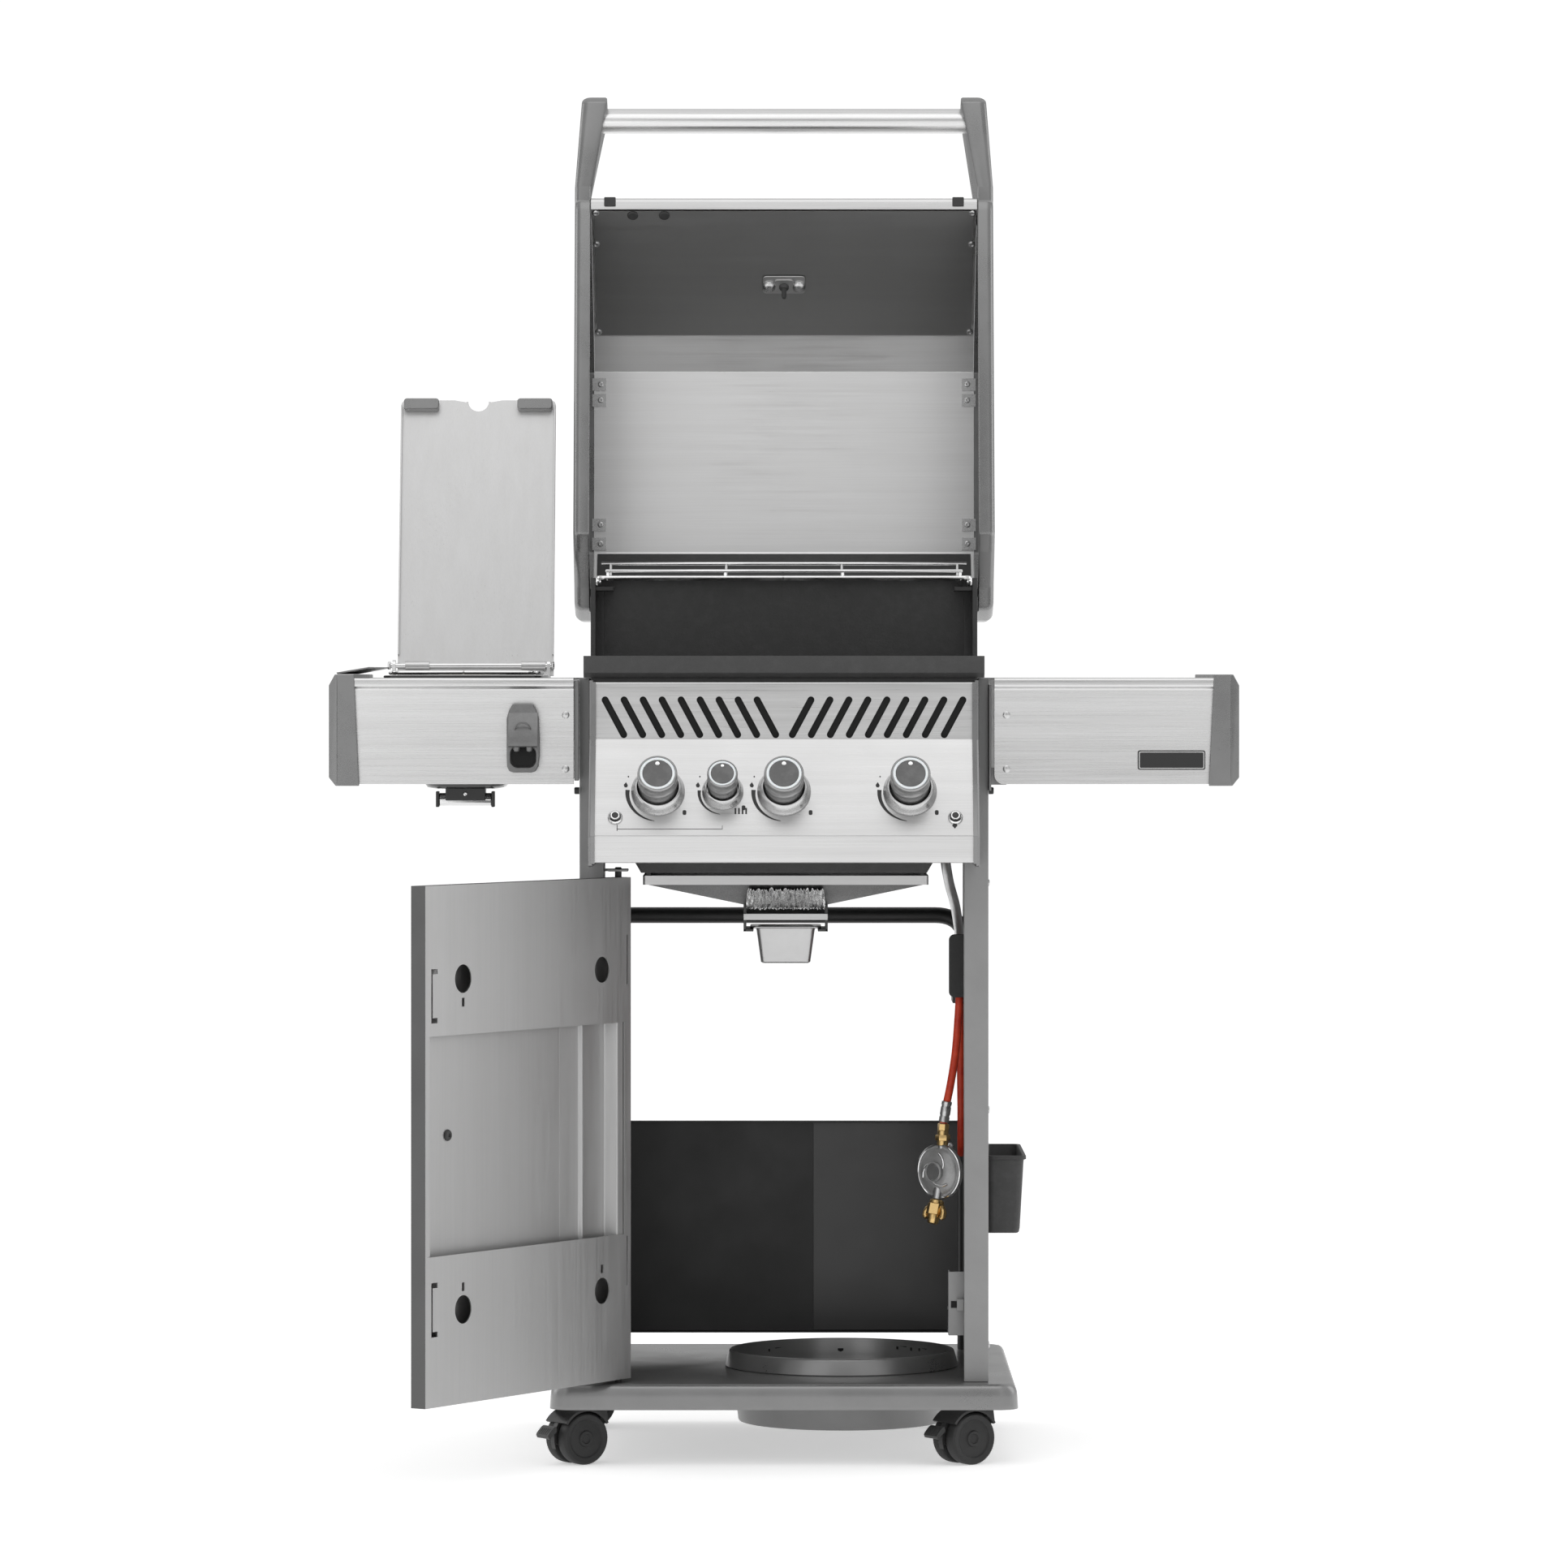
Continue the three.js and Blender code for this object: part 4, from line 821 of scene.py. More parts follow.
def caster_hood(name, place, hub):
    """Fender over both wheels, a web between them, a cap behind and the stem."""
    hood = Build(place)
    hood.prism(arc(0, WHEEL_RADIUS, 35.6, 30, 146, 26) + arc(0, WHEEL_RADIUS, 32.6, 146, 30, 26), -22.4, 22.4,
               "Y")
    hood.prism(arc(0, WHEEL_RADIUS, 34.4, 36, 200, 30) + [(-31.5, 26), (-18, 20), (14, 22), (22, 30)], -4, 4,
               "Y")
    hood.prism([(14, 60), (21, 56), (28, 50), (31, 46.6), (36.4, 50), (34.4, 64), (31, 66), (16, 66)],
               -13, 13, "Y")
    hood.turned([(0, 60), (10, 60), (10.6, 61), (10.6, 66.2), (7, 66.6), (5, 66.8), (5, 88), (0, 88)],
                shift(CASTER_TRAIL, 0, 0), 28)
    axle = Build(hub).turned([(0, 12), (5.6, 12), (5.6, -12), (0, -12)], None, 24)
    hood.make(name + "_hood", name + "_swivel", "caster_plastic", "caster_plastic", [name + "_caster"],
              bevel=0.7, cut=axle)


def brake_tab(name, place):
    lever = [(-46, 36), (-45.2, 38.4), (-40, 44), (-37, 46.4), (-34.6, 47), (-33.4, 44), (-33.2, 41),
             (-40, 36), (-43, 32.4), (-44.6, 33)]
    tab = Build(place @ shift(-3.2, 0, 0)).prism(lever, -13, 13, "Y")
    for k in (-8, -4, 0, 4, 8):
        tab.rod((-45.6, k - 0.6, 37.4), (-39.6, k - 0.6, 44.2), 0.8, 8, 0.2)
    tab.make(name + "_brake_tab", name + "_brake_lever", "caster_plastic", "caster_plastic",
             [name + "_brake"], bevel=0.6)


def caster(name, x, y):
    angle = rad(CASTER_TURN)
    place = (WORLD @ shift(x - CASTER_TRAIL * math.cos(angle), y - CASTER_TRAIL * math.sin(angle), 0)
             @ turn(CASTER_TURN, "Z"))
    hub = place @ shift(0, 0, WHEEL_RADIUS) @ turn(90, "X")
    caster_wheels(name, hub)
    caster_hood(name, place, hub)
    if name.startswith("front"):
        brake_tab(name, place)


base()
cylinder_pan()
for caster_row in CASTERS:
    caster(*caster_row)


# ---------------------------------------------------------------- cabinet
def cabinet():
    """Side panels, rear tube and sheet, their screws, and the catch of the door."""
    for side in ("left", "right"):
        refined(side + "_side_panel", "cart", "post_grey", 0.9)
    x, top, r = 226, 638, 38
    route = [(-x, 438, 97.3), (-x, 438, top), (x, 438, top), (x, 438, 97.3)]
    Build().tube(filleted(route, r, 12), 10, 28).make(
        "rear_tube", "cart", "black_paint", "black_paint", ["rear_frame"], bevel=0.6, sharp=40)
    sheet = ribbon(filleted([(412, 120), (425, 120), (425, 383), (412, 383)], 3, 4), 2)
    back = Build().prism(sheet, -217, 217)
    back.make("rear_sheet", "cart", "black_paint", "black_paint", ["rear_panel"], bevel=0.5, sharp=40)
    # the right rear plate is painted lighter than the sheet beside it: painted sheen
    plate = Build().box(36.5, 216.6, 421.8, 422.9, 122.4, 380.6)
    plate.make("rear_plate", "cart", "graphite", "black_paint", bevel=0.4)
    feet = Build()
    for s in (-1, 1):
        for z in (150, 352):
            feet.screw(shift(s * 207, 422.6, z) @ turn(90, "X"), 4.2, 2.2)
        for z in (140, 330, 560, 700):
            feet.screw(shift(s * 243, 436, z) @ turn(s * 90, "Y"), 4.2, 1.8)
        for z in (140, 420, 690):
            feet.screw(shift(s * 243, 46, z) @ turn(s * 90, "Y"), 4.2, 1.8)
    feet.make("cabinet_screws", "cart", "satin_chrome", bevel=0.15)
    refined("door_catch", "cart", "post_grey", 0.5)
    magnet = Build().box(199, 207, 56.9, 57.9, 183, 191).box(225, 232, 57.2, 57.9, 196, 204)
    magnet.make("catch_magnet", "cart", "void", bevel=0.2)


def hook():
    """Round saddle that the hose lies over, with its mounting plate."""
    saddle = [(144, 542), (212, 542), (212, 548), *arc(178, 548, 34, 0, 180, 28)]
    made = Build().prism(saddle, 203, 240.7)
    made.prism(rounded_rect(198, 222, 550, 626, 7), 121, 124, "Y")
    made.box(217.5, 240.7, 122, 178, 552, 562)
    made.make("hose_saddle", "cart", "black_plastic", "black_plastic", ["hose_hook"], bevel=1.0, sharp=40)


def basket():
    """Thin-walled plastic basket that hangs on the right side panel."""
    made = Build().loops(rect_rings([
        (245, 282, 160, 352, 264, 5), (245, 283.6, 156.8, 355.2, 265.6, 7),
        (245, 284.6, 155.6, 356.4, 270, 8), (245, 289, 151, 361, 350, 8),
        (245, 289.4, 150.6, 361.4, 352.6, 8), (245, 292, 148, 364, 353.6, 9), (245, 292, 148, 364, 357.2, 9),
        (245, 291.4, 148.6, 363.4, 358, 9), (248, 288, 152, 360, 358, 7), (248, 287, 153, 359, 356.6, 7),
        (248, 281, 159, 353, 269, 6), (248, 279, 162, 350, 267, 4)]))
    made.box(245, 248, 158, 354, 356, 370)
    for y in (175, 337):
        made.box(243.4, 248, y - 8, y + 8, 362, 369)
    made.make("basket_shell", "basket", "basket_plastic", "black_plastic", ["side_basket"], bevel=0.5,
              sharp=40)


cabinet()
hook()
basket()


# ---------------------------------------------------------------- door
def door_sheet():
    """Pressed sheet, hollow from the inside; its outside is darker."""
    cutter = Build(DOOR)
    cutter.box(-9.2, 406.2, -8.4, 8.6, 104.3, 694.2).box(2, 404, 8, 11, 273.5, 525)
    for x, r in ((49, 15.4), (334, 16.4)):
        for z, slot in ((209.5, 26), (589, -27)):
            cutter.turned([(0, 6), (r, 6), (r, 12), (0, 12)], shift(x, 0, z) @ turn(-90, "X"), 40)
            if (x, z) != (49, 589):
                cutter.box(x - 2.6, x + 2.6, 6, 12, z + slot - 5, z + slot + 5)
    for z0, z1 in ((182, 244), (540, 602)):
        for x0, x1, low, high in ((394.4, 397.2, z0, z1), (385, 397.2, z0, z0 + 6), (385, 397.2, z1 - 6, z1),
                                  (-5.4, -3.2, z0 + 30, z1 + 27)):
            cutter.box(x0, x1, 6, 12, low, high)
    sheet = Build(DOOR).box(-12, 409, -10, 10, 101.5, 697).make(
        "door_sheet", "door", "grey_sheet", "grey_sheet", ["door_panel"], bevel=0.5, cut=cutter)
    sheet.data.materials.append(LOOKS["door_grey"])
    inward = (DOOR.to_3x3() @ Vector((0, 1, 0))).normalized()
    for face in sheet.data.polygons:
        middle = DOOR.inverted() @ face.center
        outside = middle.y < -9.9 or not (-11.9 < middle.x < 408.9) or not (101.6 < middle.z < 696.9)
        if outside and face.normal.dot(inward) < 0.5:
            face.material_index = 1


def door_fittings():
    fold = [(112, -8.2), (74, -7), (71, -2), (67, -6.6), (20, -6.6), (15, 8.6), (3, 8.6)]
    inner = Build(DOOR).prism(ribbon(filleted(fold, 2.2, 4), 1.0), 266, 532, "Z")
    inner.box(397.5, 405.9, 3.5, 8.4, 262, 536)
    inner.make("door_stiffener", "door", "grey_sheet", "grey_sheet", bevel=0.2, sharp=40)
    pins = Build(DOOR)
    for z0, z1 in ((93.5, 107), (691, 709)):
        pins.rod((0, 0, z0), (0, 0, z1), 4, 24)
    pins.make("door_pins", "door", "black_paint", "plain_steel")
    rubber = Build(DOOR).turned([(0, -0.4), (6.6, -0.4), (6.6, 1.4), (5.6, 2.8), (2.4, 3.2), (2, 2), (0, 2)],
                                shift(340, -8.4, 409) @ turn(-90, "X"), 28)
    rubber.make("door_plug", "door", "black_plastic", "black_plastic")
    grip = Build(DOOR)
    grip.turned([(0, 300.2), (8.4, 300.2), (9.6, 301), (10, 302.6), (10, 497.4), (9.6, 499), (8.4, 499.8),
                 (0, 499.8)], shift(336, -44, 0), 40)
    for z in (322, 478):
        grip.turned([(0, 0), (6.2, 0), (6.2, 22), (7, 24), (9, 25), (9, 26.8), (0, 26.8)],
                    shift(336, -37, z) @ turn(-90, "X"), 28)
    grip.make("door_grip", "door", "steel_z", "stainless", ["door_handle"], bevel=0.3, sharp=40)


door_sheet()
door_fittings()


# ---------------------------------------------------------------- firebox, burners, grids and rack
BURNERS = {"left": -148, "centre": 0, "right": 148}
BURNER_HEIGHT = 822
GRID_BARS = 8
DECK, RAIL = 1057, 1076  # heights of the rack's wires and of its back rail


def firebox():
    """The cast box, and in it three tube burners with their flame tamers."""
    refined("firebox", "cart", "cast_dark", 1.3, 3)
    for name, x in BURNERS.items():
        tube = Build()
        axis = shift(x, 0, BURNER_HEIGHT) @ turn(-90, "X")
        tube.turned([(0, 5), (13.4, 5), (14, 5.8), (14, 421), (12.6, 423.4), (9, 424), (0, 424)], axis, 32)
        tube.ring([(8.4, 1.2), (10.4, 1.2), (10.4, 6), (8.4, 6)], axis, 32)
        for k in range(24):
            for s in (-1, 1):
                port = shift(x, 40 + k * 15.4, BURNER_HEIGHT) @ turn(s * 62, "Y")
                tube.ring([(0.7, 13.6), (1.8, 13.6), (1.8, 14.5), (0.7, 14.5)], port, 8)
        tube.make(name + "_burner_tube", "cart", "plain_steel", "plain_steel", [name + "_burner"], bevel=0.2)
        peak = ribbon(filleted([(x - 34, 852), (x, 884), (x + 34, 852)], 3, 5), 1.6)
        slots = Build()
        for k in range(8):
            for s in (-1, 1):
                middle = shift(x + s * 17, 34 + k * 53, 868) @ turn(s * 43.3, "Y")
                slots.box(-2, 2, -14, 14, -6, 6, middle)
        Build().prism(peak, 4, 438, "Y").make(name + "_tamer", "cart", "plain_steel", "plain_steel",
                                              [name + "_flame_tamer"], bevel=0.3, sharp=40, cut=slots)


def grid(name, x0, x1):
    """Cast grid: rounded rim, eight fat bars and one cross bar."""
    made = Build()
    rim = rounded_rect(x0 + 0.3, x1 - 0.3, 3, 440, 6, 5)
    hole = rounded_rect(x0 + 9, x1 - 9, 12, 431, 4, 5)
    eased = [(x + (1 if x < (x0 + x1) / 2 else -1), y) for x, y in rim]
    levels = ((rim, 922.4), (rim, 930), (eased, 931.8), (hole, 931.8), (hole, 922.4))
    made.loops([[(x, y, z) for x, y in outline] for outline, z in levels], closed=True)
    pitch = (x1 - x0 - 10) / GRID_BARS
    for i in range(1, GRID_BARS):
        x = x0 + 5 + i * pitch
        half = [(3.4, 922.8), (4.5, 929), (3.6, 931.4), (1.6, 932)]
        bar = [(x - 3.4, 922.8), *[(x + a, z) for a, z in half], *[(x - a, z) for a, z in half[:0:-1]]]
        made.prism(bar, 8, 435, "Y")
    made.prism([(223, 922.8), (229, 922.8), (230, 930), (227, 931), (225, 931), (222, 930)], x0 + 6, x1 - 6)
    made.make(name + "_grid_bars", name + "_grid", "enamelled_iron", "enamelled_iron",
              [name + "_cooking_grid"], bevel=0.5, sharp=40)


def rack():
    """Warming rack of bent wire on four feet."""
    made = Build()
    x = 228
    frame_wire = [(0, 302.6, DECK), (x, 302.6, DECK), (x, 437.6, DECK), (-x, 437.6, DECK), (-x, 302.6, DECK),
                  (-2, 302.6, DECK)]
    made.tube(filleted(frame_wire, 8, 5), 2.5, 12)
    for y in range(322, 423, 20):
        made.rod((-x, y, DECK + 0.6), (x, y, DECK + 0.6), 1.7, 10)
    for wire_x in (-216, -72, 72, 216):
        bent = [(wire_x, 303.4, DECK + 8), (wire_x, 303.4, DECK - 1.6), (wire_x, 436, DECK - 1.6),
                (wire_x, 438, RAIL)]
        made.tube(filleted(bent, 4, 4), 2.1, 12)
    made.rod((-219, 302.4, DECK + 8), (219, 302.4, DECK + 8), 2.1, 12)
    made.rod((-x, 438, RAIL), (x, 438, RAIL), 2.2, 12)
    for foot_x in (-229, 229):
        for y in (318, 424):
            foot = [(foot_x, y + a, z) for a, z in ((-7, DECK), (-7, 1049.4), (7, 1049.4), (7, DECK))]
            made.tube(filleted(foot, 4, 4), 2.0, 10)
    made.make("rack_wires", "rack", "chrome", "chrome", ["warming_rack"], sharp=50)


firebox()
grid("left", -221, -1)
grid("right", 1, 221)
rack()


# ---------------------------------------------------------------- lid
LID_LINE = [(-474, -77), (-492, -77), (-355, 110), (-313, 135), (-83, 166), (8, 122), (22, 40)]
GAUGE = (-412, 32)
FRONT_ANGLE = math.atan2(187, 137)
OUT = Vector((0, -math.sin(FRONT_ANGLE), math.cos(FRONT_ANGLE)))
ALONG = Vector((0, math.cos(FRONT_ANGLE), math.sin(FRONT_ANGLE)))
TILT = math.degrees(FRONT_ANGLE)
OUT_OF_SKIN = shift(0, *GAUGE) @ turn(TILT, "X")
SHEET_START, SHEET_END = (Vector((0, *p)) - OUT * 12 for p in LID_LINE[1:3])
SIDE_INNER, SIDE_OUTER = 242.3, 262
SIDE_EDGE = [(-500, -80), (-358, 114), (-315, 141), (-82, 172), (14, 127), (28, 40), (22, -6), (-2, -22),
             (-40, -62), (-60, -78)]
SIDE_RECESS = [(-484, -74), (-350, 106), (-311, 134), (-83, 165), (8, 122), (21, 40), (16, -1), (-6, -15),
               (-44, -56), (-62, -72)]
ARM_EDGE = [(-620, -72), (-612, -84), (-503, -79.8), (-484, -79), (-455, -40), (-503, -38.6), (-598, -36),
            (-617, -46)]
ARM_ROOT, ARM_REACH = -502.5, 90  # the arm starts to lean in at its root, and is fully in after the reach


def lid_side(name, s):
    """Hollow casting with a rounded outer edge, and the arm that reaches in to the handle."""
    wide = SIDE_OUTER - SIDE_INNER

    def rings(outline, rounding):
        turns = [rad(15 * k) for k in range(7)]
        edge = [(wide - rounding * (1 - math.sin(a)), rounding * (1 - math.cos(a))) for a in turns]
        made = []
        for out, inset in [(0, 1.2), (1.2, 0), *edge]:
            ring = []
            for p in moved_in(outline, inset):
                lean = min(max((ARM_ROOT - p.x) / ARM_REACH, 0), 1) * (20 - 12 * out / wide)
                ring.append((s * (SIDE_INNER + out - lean), p.x, p.y))
            made.append(ring)
        return made

    hollow = Build(LID).prism(smooth_outline(SIDE_RECESS, 8),
                              *sorted((s * (SIDE_INNER - 1), s * (SIDE_OUTER - 4))))
    body = Build(LID).loops(rings(smooth_outline(SIDE_EDGE, 14), 9))
    body.make(f"lid_{name}_side_casting", "lid", "cast_grey", "cast_grey", [f"lid_{name}_side"], sharp=40,
              cut=hollow)
    arm = Build(LID).loops(rings(smooth_outline(ARM_EDGE, 5), 7))
    arm.ring([(6, SIDE_INNER + 0.3), (12, SIDE_INNER + 0.3), (12, SIDE_OUTER - 3), (6, SIDE_OUTER - 3)],
             turn(s * 90, "Y"), 32)
    arm.make(f"lid_{name}_arm", "lid", "cast_grey", "cast_grey", sharp=40)


def lid_sheets():
    hole = Build(LID).turned([(0, -12), (11, -12), (11, 12), (0, 12)], OUT_OF_SKIN, 32)
    skin = ribbon(filleted(LID_LINE, 5, 6), -2)
    sheet = Build(LID).prism(skin, -242, 242).make("lid_sheet", "lid", "steel_lid", "stainless", ["lid_skin"],
                                                  bevel=0.5, sharp=40, cut=hole)
    # the front lip takes the darker panel steel: painted shade that tones down its reflection
    sheet.data.materials.append(LOOKS["steel_panel"])
    for face in sheet.data.polygons:
        middle = LID.inverted() @ face.center
        if middle.y < -473 and middle.z < -74:
            face.material_index = 1
    a, b = SHEET_START + ALONG * 14, SHEET_END - ALONG * 12
    line = [(a.y, a.z), (a.y + (b.y - a.y) * 0.08, a.z + (b.z - a.z) * 0.08), (b.y, b.z)]
    # the liner takes a darker copy of the lid steel: painted shade inside the lid
    Build(LID).prism(ribbon(line, -1.6), -238, 238).make(
        "lid_inner_sheet", "lid", "steel_shade", "stainless", ["lid_liner"], bevel=0.4, sharp=40, cut=hole)
    # dark sheet along the rear of the lid: painted shade
    band = ribbon([(-80, 160.2), (5.6, 118.8)], -1.4)
    Build(LID).prism(band, -238, 238).make("lid_rear_painted_shade", "lid", "cast_dark", bevel=0.4)


def lid_grip():
    """Handle tube, and the rubber pads inside the lid."""
    tube = Build(LID)
    tube.turned([(0, -234.5), (14, -234.5), (15.3, -233), (15.6, -231), (15.6, 231), (15.3, 233), (14, 234.5),
                 (0, 234.5)], shift(0, -592, -60) @ turn(90, "Y"), 64)
    tube.make("lid_grip", "lid", "tube_steel", "stainless", ["lid_handle"], sharp=50)
    pads = Build(LID)
    for x in (-218, 218):
        pads.box(x - 7.2, x + 7.2, -489.5, -478, -79.6, -76.9)
    a = SHEET_START + ALONG * 14
    for x in (-189.5, -150):
        pads.turned([(0, -1), (7, -1), (7, 1.6), (5.6, 3), (0, 3)],
                    shift(x, a.y + 4.9, a.z + 5.1) @ turn(TILT + 180, "X"), 28)
    pads.make("lid_bumpers", "lid", "black_plastic", "black_plastic", bevel=1.0)


def gauge():
    """Temperature gauge: its case stands outside the skin, its bracket and probe inside."""
    place = LID @ OUT_OF_SKIN
    bracket = Build(place)
    bracket.prism(rounded_rect(-27, 27, -16, 13, 5, 5), -16.4, -14.4, "Z")
    bracket.prism(rounded_rect(-12, 12, -12, 8, 4, 4), -18.4, -16, "Z")
    bracket.make("gauge_bracket", "lid", "bracket_steel", "stainless", bevel=1.0)
    studs = Build(place)
    for x in (-19, 19):
        studs.turned([(0, -0.5), (8.4, -0.5), (8.4, 1.6), (7.4, 3.6), (5, 5.2), (2, 5.9), (0, 6)],
                     shift(x, 0, -16.4) @ turn(180, "X"), 28)
    studs.make("gauge_screws", "lid", "satin_chrome", "chrome")
    probe = Build(place)
    probe.turned([(0, -16), (6.2, -16), (6.2, -20), (4.4, -21), (3, -22), (3, -36), (2.4, -39), (0, -40)],
                 None, 28)
    probe.make("gauge_probe", "lid", "cast_dark", "chrome", bevel=0.2)
    case = Build(place)
    case.turned([(0, 0.3), (35, 0.3), (36, 1.4), (36, 17), (34.6, 20.4), (32, 21.8), (30.4, 21), (29.6, 18.4),
                 (0, 18.4)], None, 72)
    case.make("gauge_case", "lid", "chrome", "chrome", ["temperature_gauge"], bevel=0.3, sharp=40)
    face = Build(place).turned([(0, 18.3), (29.3, 18.3), (29.3, 18.8), (0, 18.8)], None, 64)
    face.make("gauge_face", "lid", "ring_white")
    marks = Build(place)
    for k in range(25):
        start = 24.5 if k % 4 else 22
        marks.box(start, 27.5, -0.4, 0.4, 18.7, 19.1, turn(-30 + k * 10, "Z"))
    marks.prism([(-6, -1.2), (20, -0.3), (20, 0.3), (-6, 1.2)], 19.4, 19.9, "Z", turn(205, "Z"))
    marks.turned([(0, 18.7), (3, 18.7), (3, 20.6), (0, 21)], None, 24)
    marks.make("gauge_marks", "lid", "ink")


def lid_fixings():
    """Screws and clips inside the lid, and the caps of its hinge pins."""
    clips = Build(LID)
    slope = math.degrees(math.atan2(31, 230))
    for s in (-1, 1):
        for lo, hi in ((0.05, 0.10), (0.27, 0.32), (0.90, 0.95)):
            mid = (SHEET_START.lerp(SHEET_END, lo) + SHEET_START.lerp(SHEET_END, hi)) / 2 - OUT
            clips.screw(shift(s * 236, mid.y, mid.z) @ turn(TILT + 180, "X"), 4.6, 2.6)
        for y in (-296, -276, -118, -94):
            z = 135 + (y + 313) / 230 * 31 - 2.2
            clips.box(-9, 9, -8, 8, -2.2, -0.2, shift(s * 236, y, z) @ turn(slope, "X"))
            clips.screw(shift(s * 234, y, z - 2.2) @ turn(180 + slope, "X"), 3.8, 2.4)
    clips.make("lid_clips", "lid", "satin_chrome", bevel=0.2)
    hinges = Build(LID)
    for s in (-1, 1):
        place = shift(s * 258.6, 0, 0) @ turn(s * 90, "Y")
        hinges.turned([(0, 0), (8.4, 0), (9, 0.8), (9, 2.6), (0, 3)], place, 24)
        hinges.turned([(0, 2.6), (6.2, 2.6), (6.2, 3.2), (0, 3.3)], place, 6)
    hinges.make("hinge_caps", "lid", "satin_chrome")


lid_side("left", -1)
lid_side("right", 1)
lid_sheets()
lid_grip()
gauge()
lid_fixings()


# ---------------------------------------------------------------- control panel, knobs and buttons
KNOB_HEIGHT = 800
PRINT = (0.1, 0.35)  # lower and upper face of a printed sign
KNOBS = [("left_burner_knob", "left_knob", -148, 1.0), ("side_burner_knob", "small_knob", -72, 0.77),
         ("centre_burner_knob", "centre_knob", 0, 1.0), ("right_burner_knob", "right_knob", 148, 1.0)]


def knob_marks(x, size):
    """Bezel and printed signs around one knob."""
    name = str(x).replace("-", "m")
    place = on_band(x, KNOB_HEIGHT)
    profile = [(8, 1), (30.6, 0.3), (31.5, 1), (31.5, 2.4), (31.0, 3.4), (30.2, 4.6), (29.2, 8.4),
               (28.2, 11.0), (26.8, 13.6), (25.6, 14.8), (24.9, 15), (24.5, 14.4), (24.4, 5), (23.6, 4.2),
               (8, 4.2)]
    bezel = Build(place).ring([(r * size, h) for r, h in profile], None, 80)
    bezel.make("bezel_" + name, "cart", "satin_chrome", "stainless", sharp=50)
    mark = Build(place)
    outer, inner = [], []
    for k in range(25):
        t = k / 24
        angle = rad(176 + 88 * t)
        width = 4.6 * (1 - t) ** 0.8 + 0.5
        for line, r in ((outer, 38.4 * size), (inner, 38.4 * size - width * size)):
            line.append((r * math.cos(angle), r * math.sin(angle)))
    mark.prism(outer + inner[::-1], *PRINT, "Z")
    flame = [(-2.0, 0), (-1.2, -2.2), (0.9, -2.6), (2.1, -0.8), (1.3, 1.2), (0.2, 3.0), (-0.8, 1.6)]
    mark.prism([(a * 1.2 - 38 * size, b * 1.2 + 9) for a, b in flame], *PRINT, "Z")
    mark.turned([(0, 0.1), (0.9, 0.1), (0.9, 0.35), (0, 0.35)], shift(-35 * size, 20, 0), 12)
    mark.prism(rounded_rect(29 * size, 29 * size + 4.4, -27 * size - 3, -27 * size + 3, 1.6, 3), *PRINT, "Z")
    mark.make("marks_" + name, "cart", "ink")


def control_panel():
    """Folded sheet with slanted vent slots, and its two cast end caps."""
    slots = Build()
    for i in range(9):
        for s in (-1, 1):
            x, lean = s * (189 - i * 22.4), s * 22
            angle = math.degrees(math.atan2(41, lean))
            shape = (arc(x, 867, 4.1, angle + 90, angle + 270, 10)
                     + arc(x + lean, 908, 4.1, angle - 90, angle + 90, 10))
            slots.prism(shape, -40, -20, "Y")
    line = [(-14, 929), (-30, 929), BAND_TOP, BAND_BOTTOM, (-82, 717), (-44, 717)]
    sheet = Build().prism(ribbon(filleted(line, 2.6, 5), 2), -225, 225)
    sheet.make("panel_sheet", "cart", "steel_panel", "stainless", ["control_panel"], bevel=0.35, sharp=40,
               cut=slots)
    Build().box(-222, 222, -26.4, -25.6, 864, 926).make("vent_shadow", "cart", "void")
    for side in ("left", "right"):
        refined(side + "_panel_cap", "cart", "cast_grey", 0.8)


def panel_lines():
    """Thin printed lines and small signs between the knobs."""
    lines = Build(on_band(0, KNOB_HEIGHT))
    low = -(KNOB_HEIGHT - 756.5) / math.sin(rad(BAND_TILT))
    lines.box(-196, -72, low, low + 0.6, 0.1, 0.3).box(-196, -195.2, low - 2, low + 6, 0.1, 0.3)
    lines.box(-72.6, -72, low, low + 5, 0.1, 0.3)
    for k in range(4):
        lines.box(-58 + k * 4.2, -56 + k * 4.2, -29, -21, 0.1, 0.3)
    lines.prism([(200.2, low + 1), (203.4, low + 5), (200.2, low + 9), (197, low + 5)], 0.1, 0.3, "Z")
    lines.make("panel_lines", "cart", "ink")


def knob(node, body, x, size):
    place = on_band(x, KNOB_HEIGHT)

    def scaled(profile):
        return [(r * size, h) for r, h in profile]

    grip = Build(place).turned(scaled([
        (0, 8.2), (21.6, 8.2), (22.6, 9), (22.6, 13), (22.0, 14), (21.9, 26), (22.2, 27.4), (23.3, 28.6),
        (23.5, 30), (23.5, 32), (23.3, 33), (22.6, 34), (22.5, 44.4), (23.1, 45.6), (23.4, 47), (23.1, 48.7),
        (22.2, 49.7), (21.2, 50), (20.9, 49.5), (20.9, 47.4), (0, 47.4)]), None, 80)
    grip.make(node + "_grip", body, "knob_metal", "chrome", [node], sharp=50)
    ring = Build(place).ring(scaled([(17.4, 47), (20.8, 47), (20.8, 49.2), (20.2, 49.9), (18.2, 49.9),
                                     (17.5, 49.3)]), None, 80)
    ring.make(node + "_ring", body, "ring_white")
    face = Build(place).turned(scaled([(0, 47), (17.4, 47), (17.4, 49.0), (16.6, 49.6), (14, 49.35),
                                       (8, 49.0), (0, 48.9)]), None, 64)
    face.make(node + "_face", body, "knob_face")
    dot = Build(place).turned(scaled([(0, 49.0), (2.6, 49.0), (2.5, 49.9), (1.6, 50.1), (0, 50.15)]),
                              shift(0, 12.6 * size, 0), 24)
    dot.make(node + "_pointer", body, "chrome")


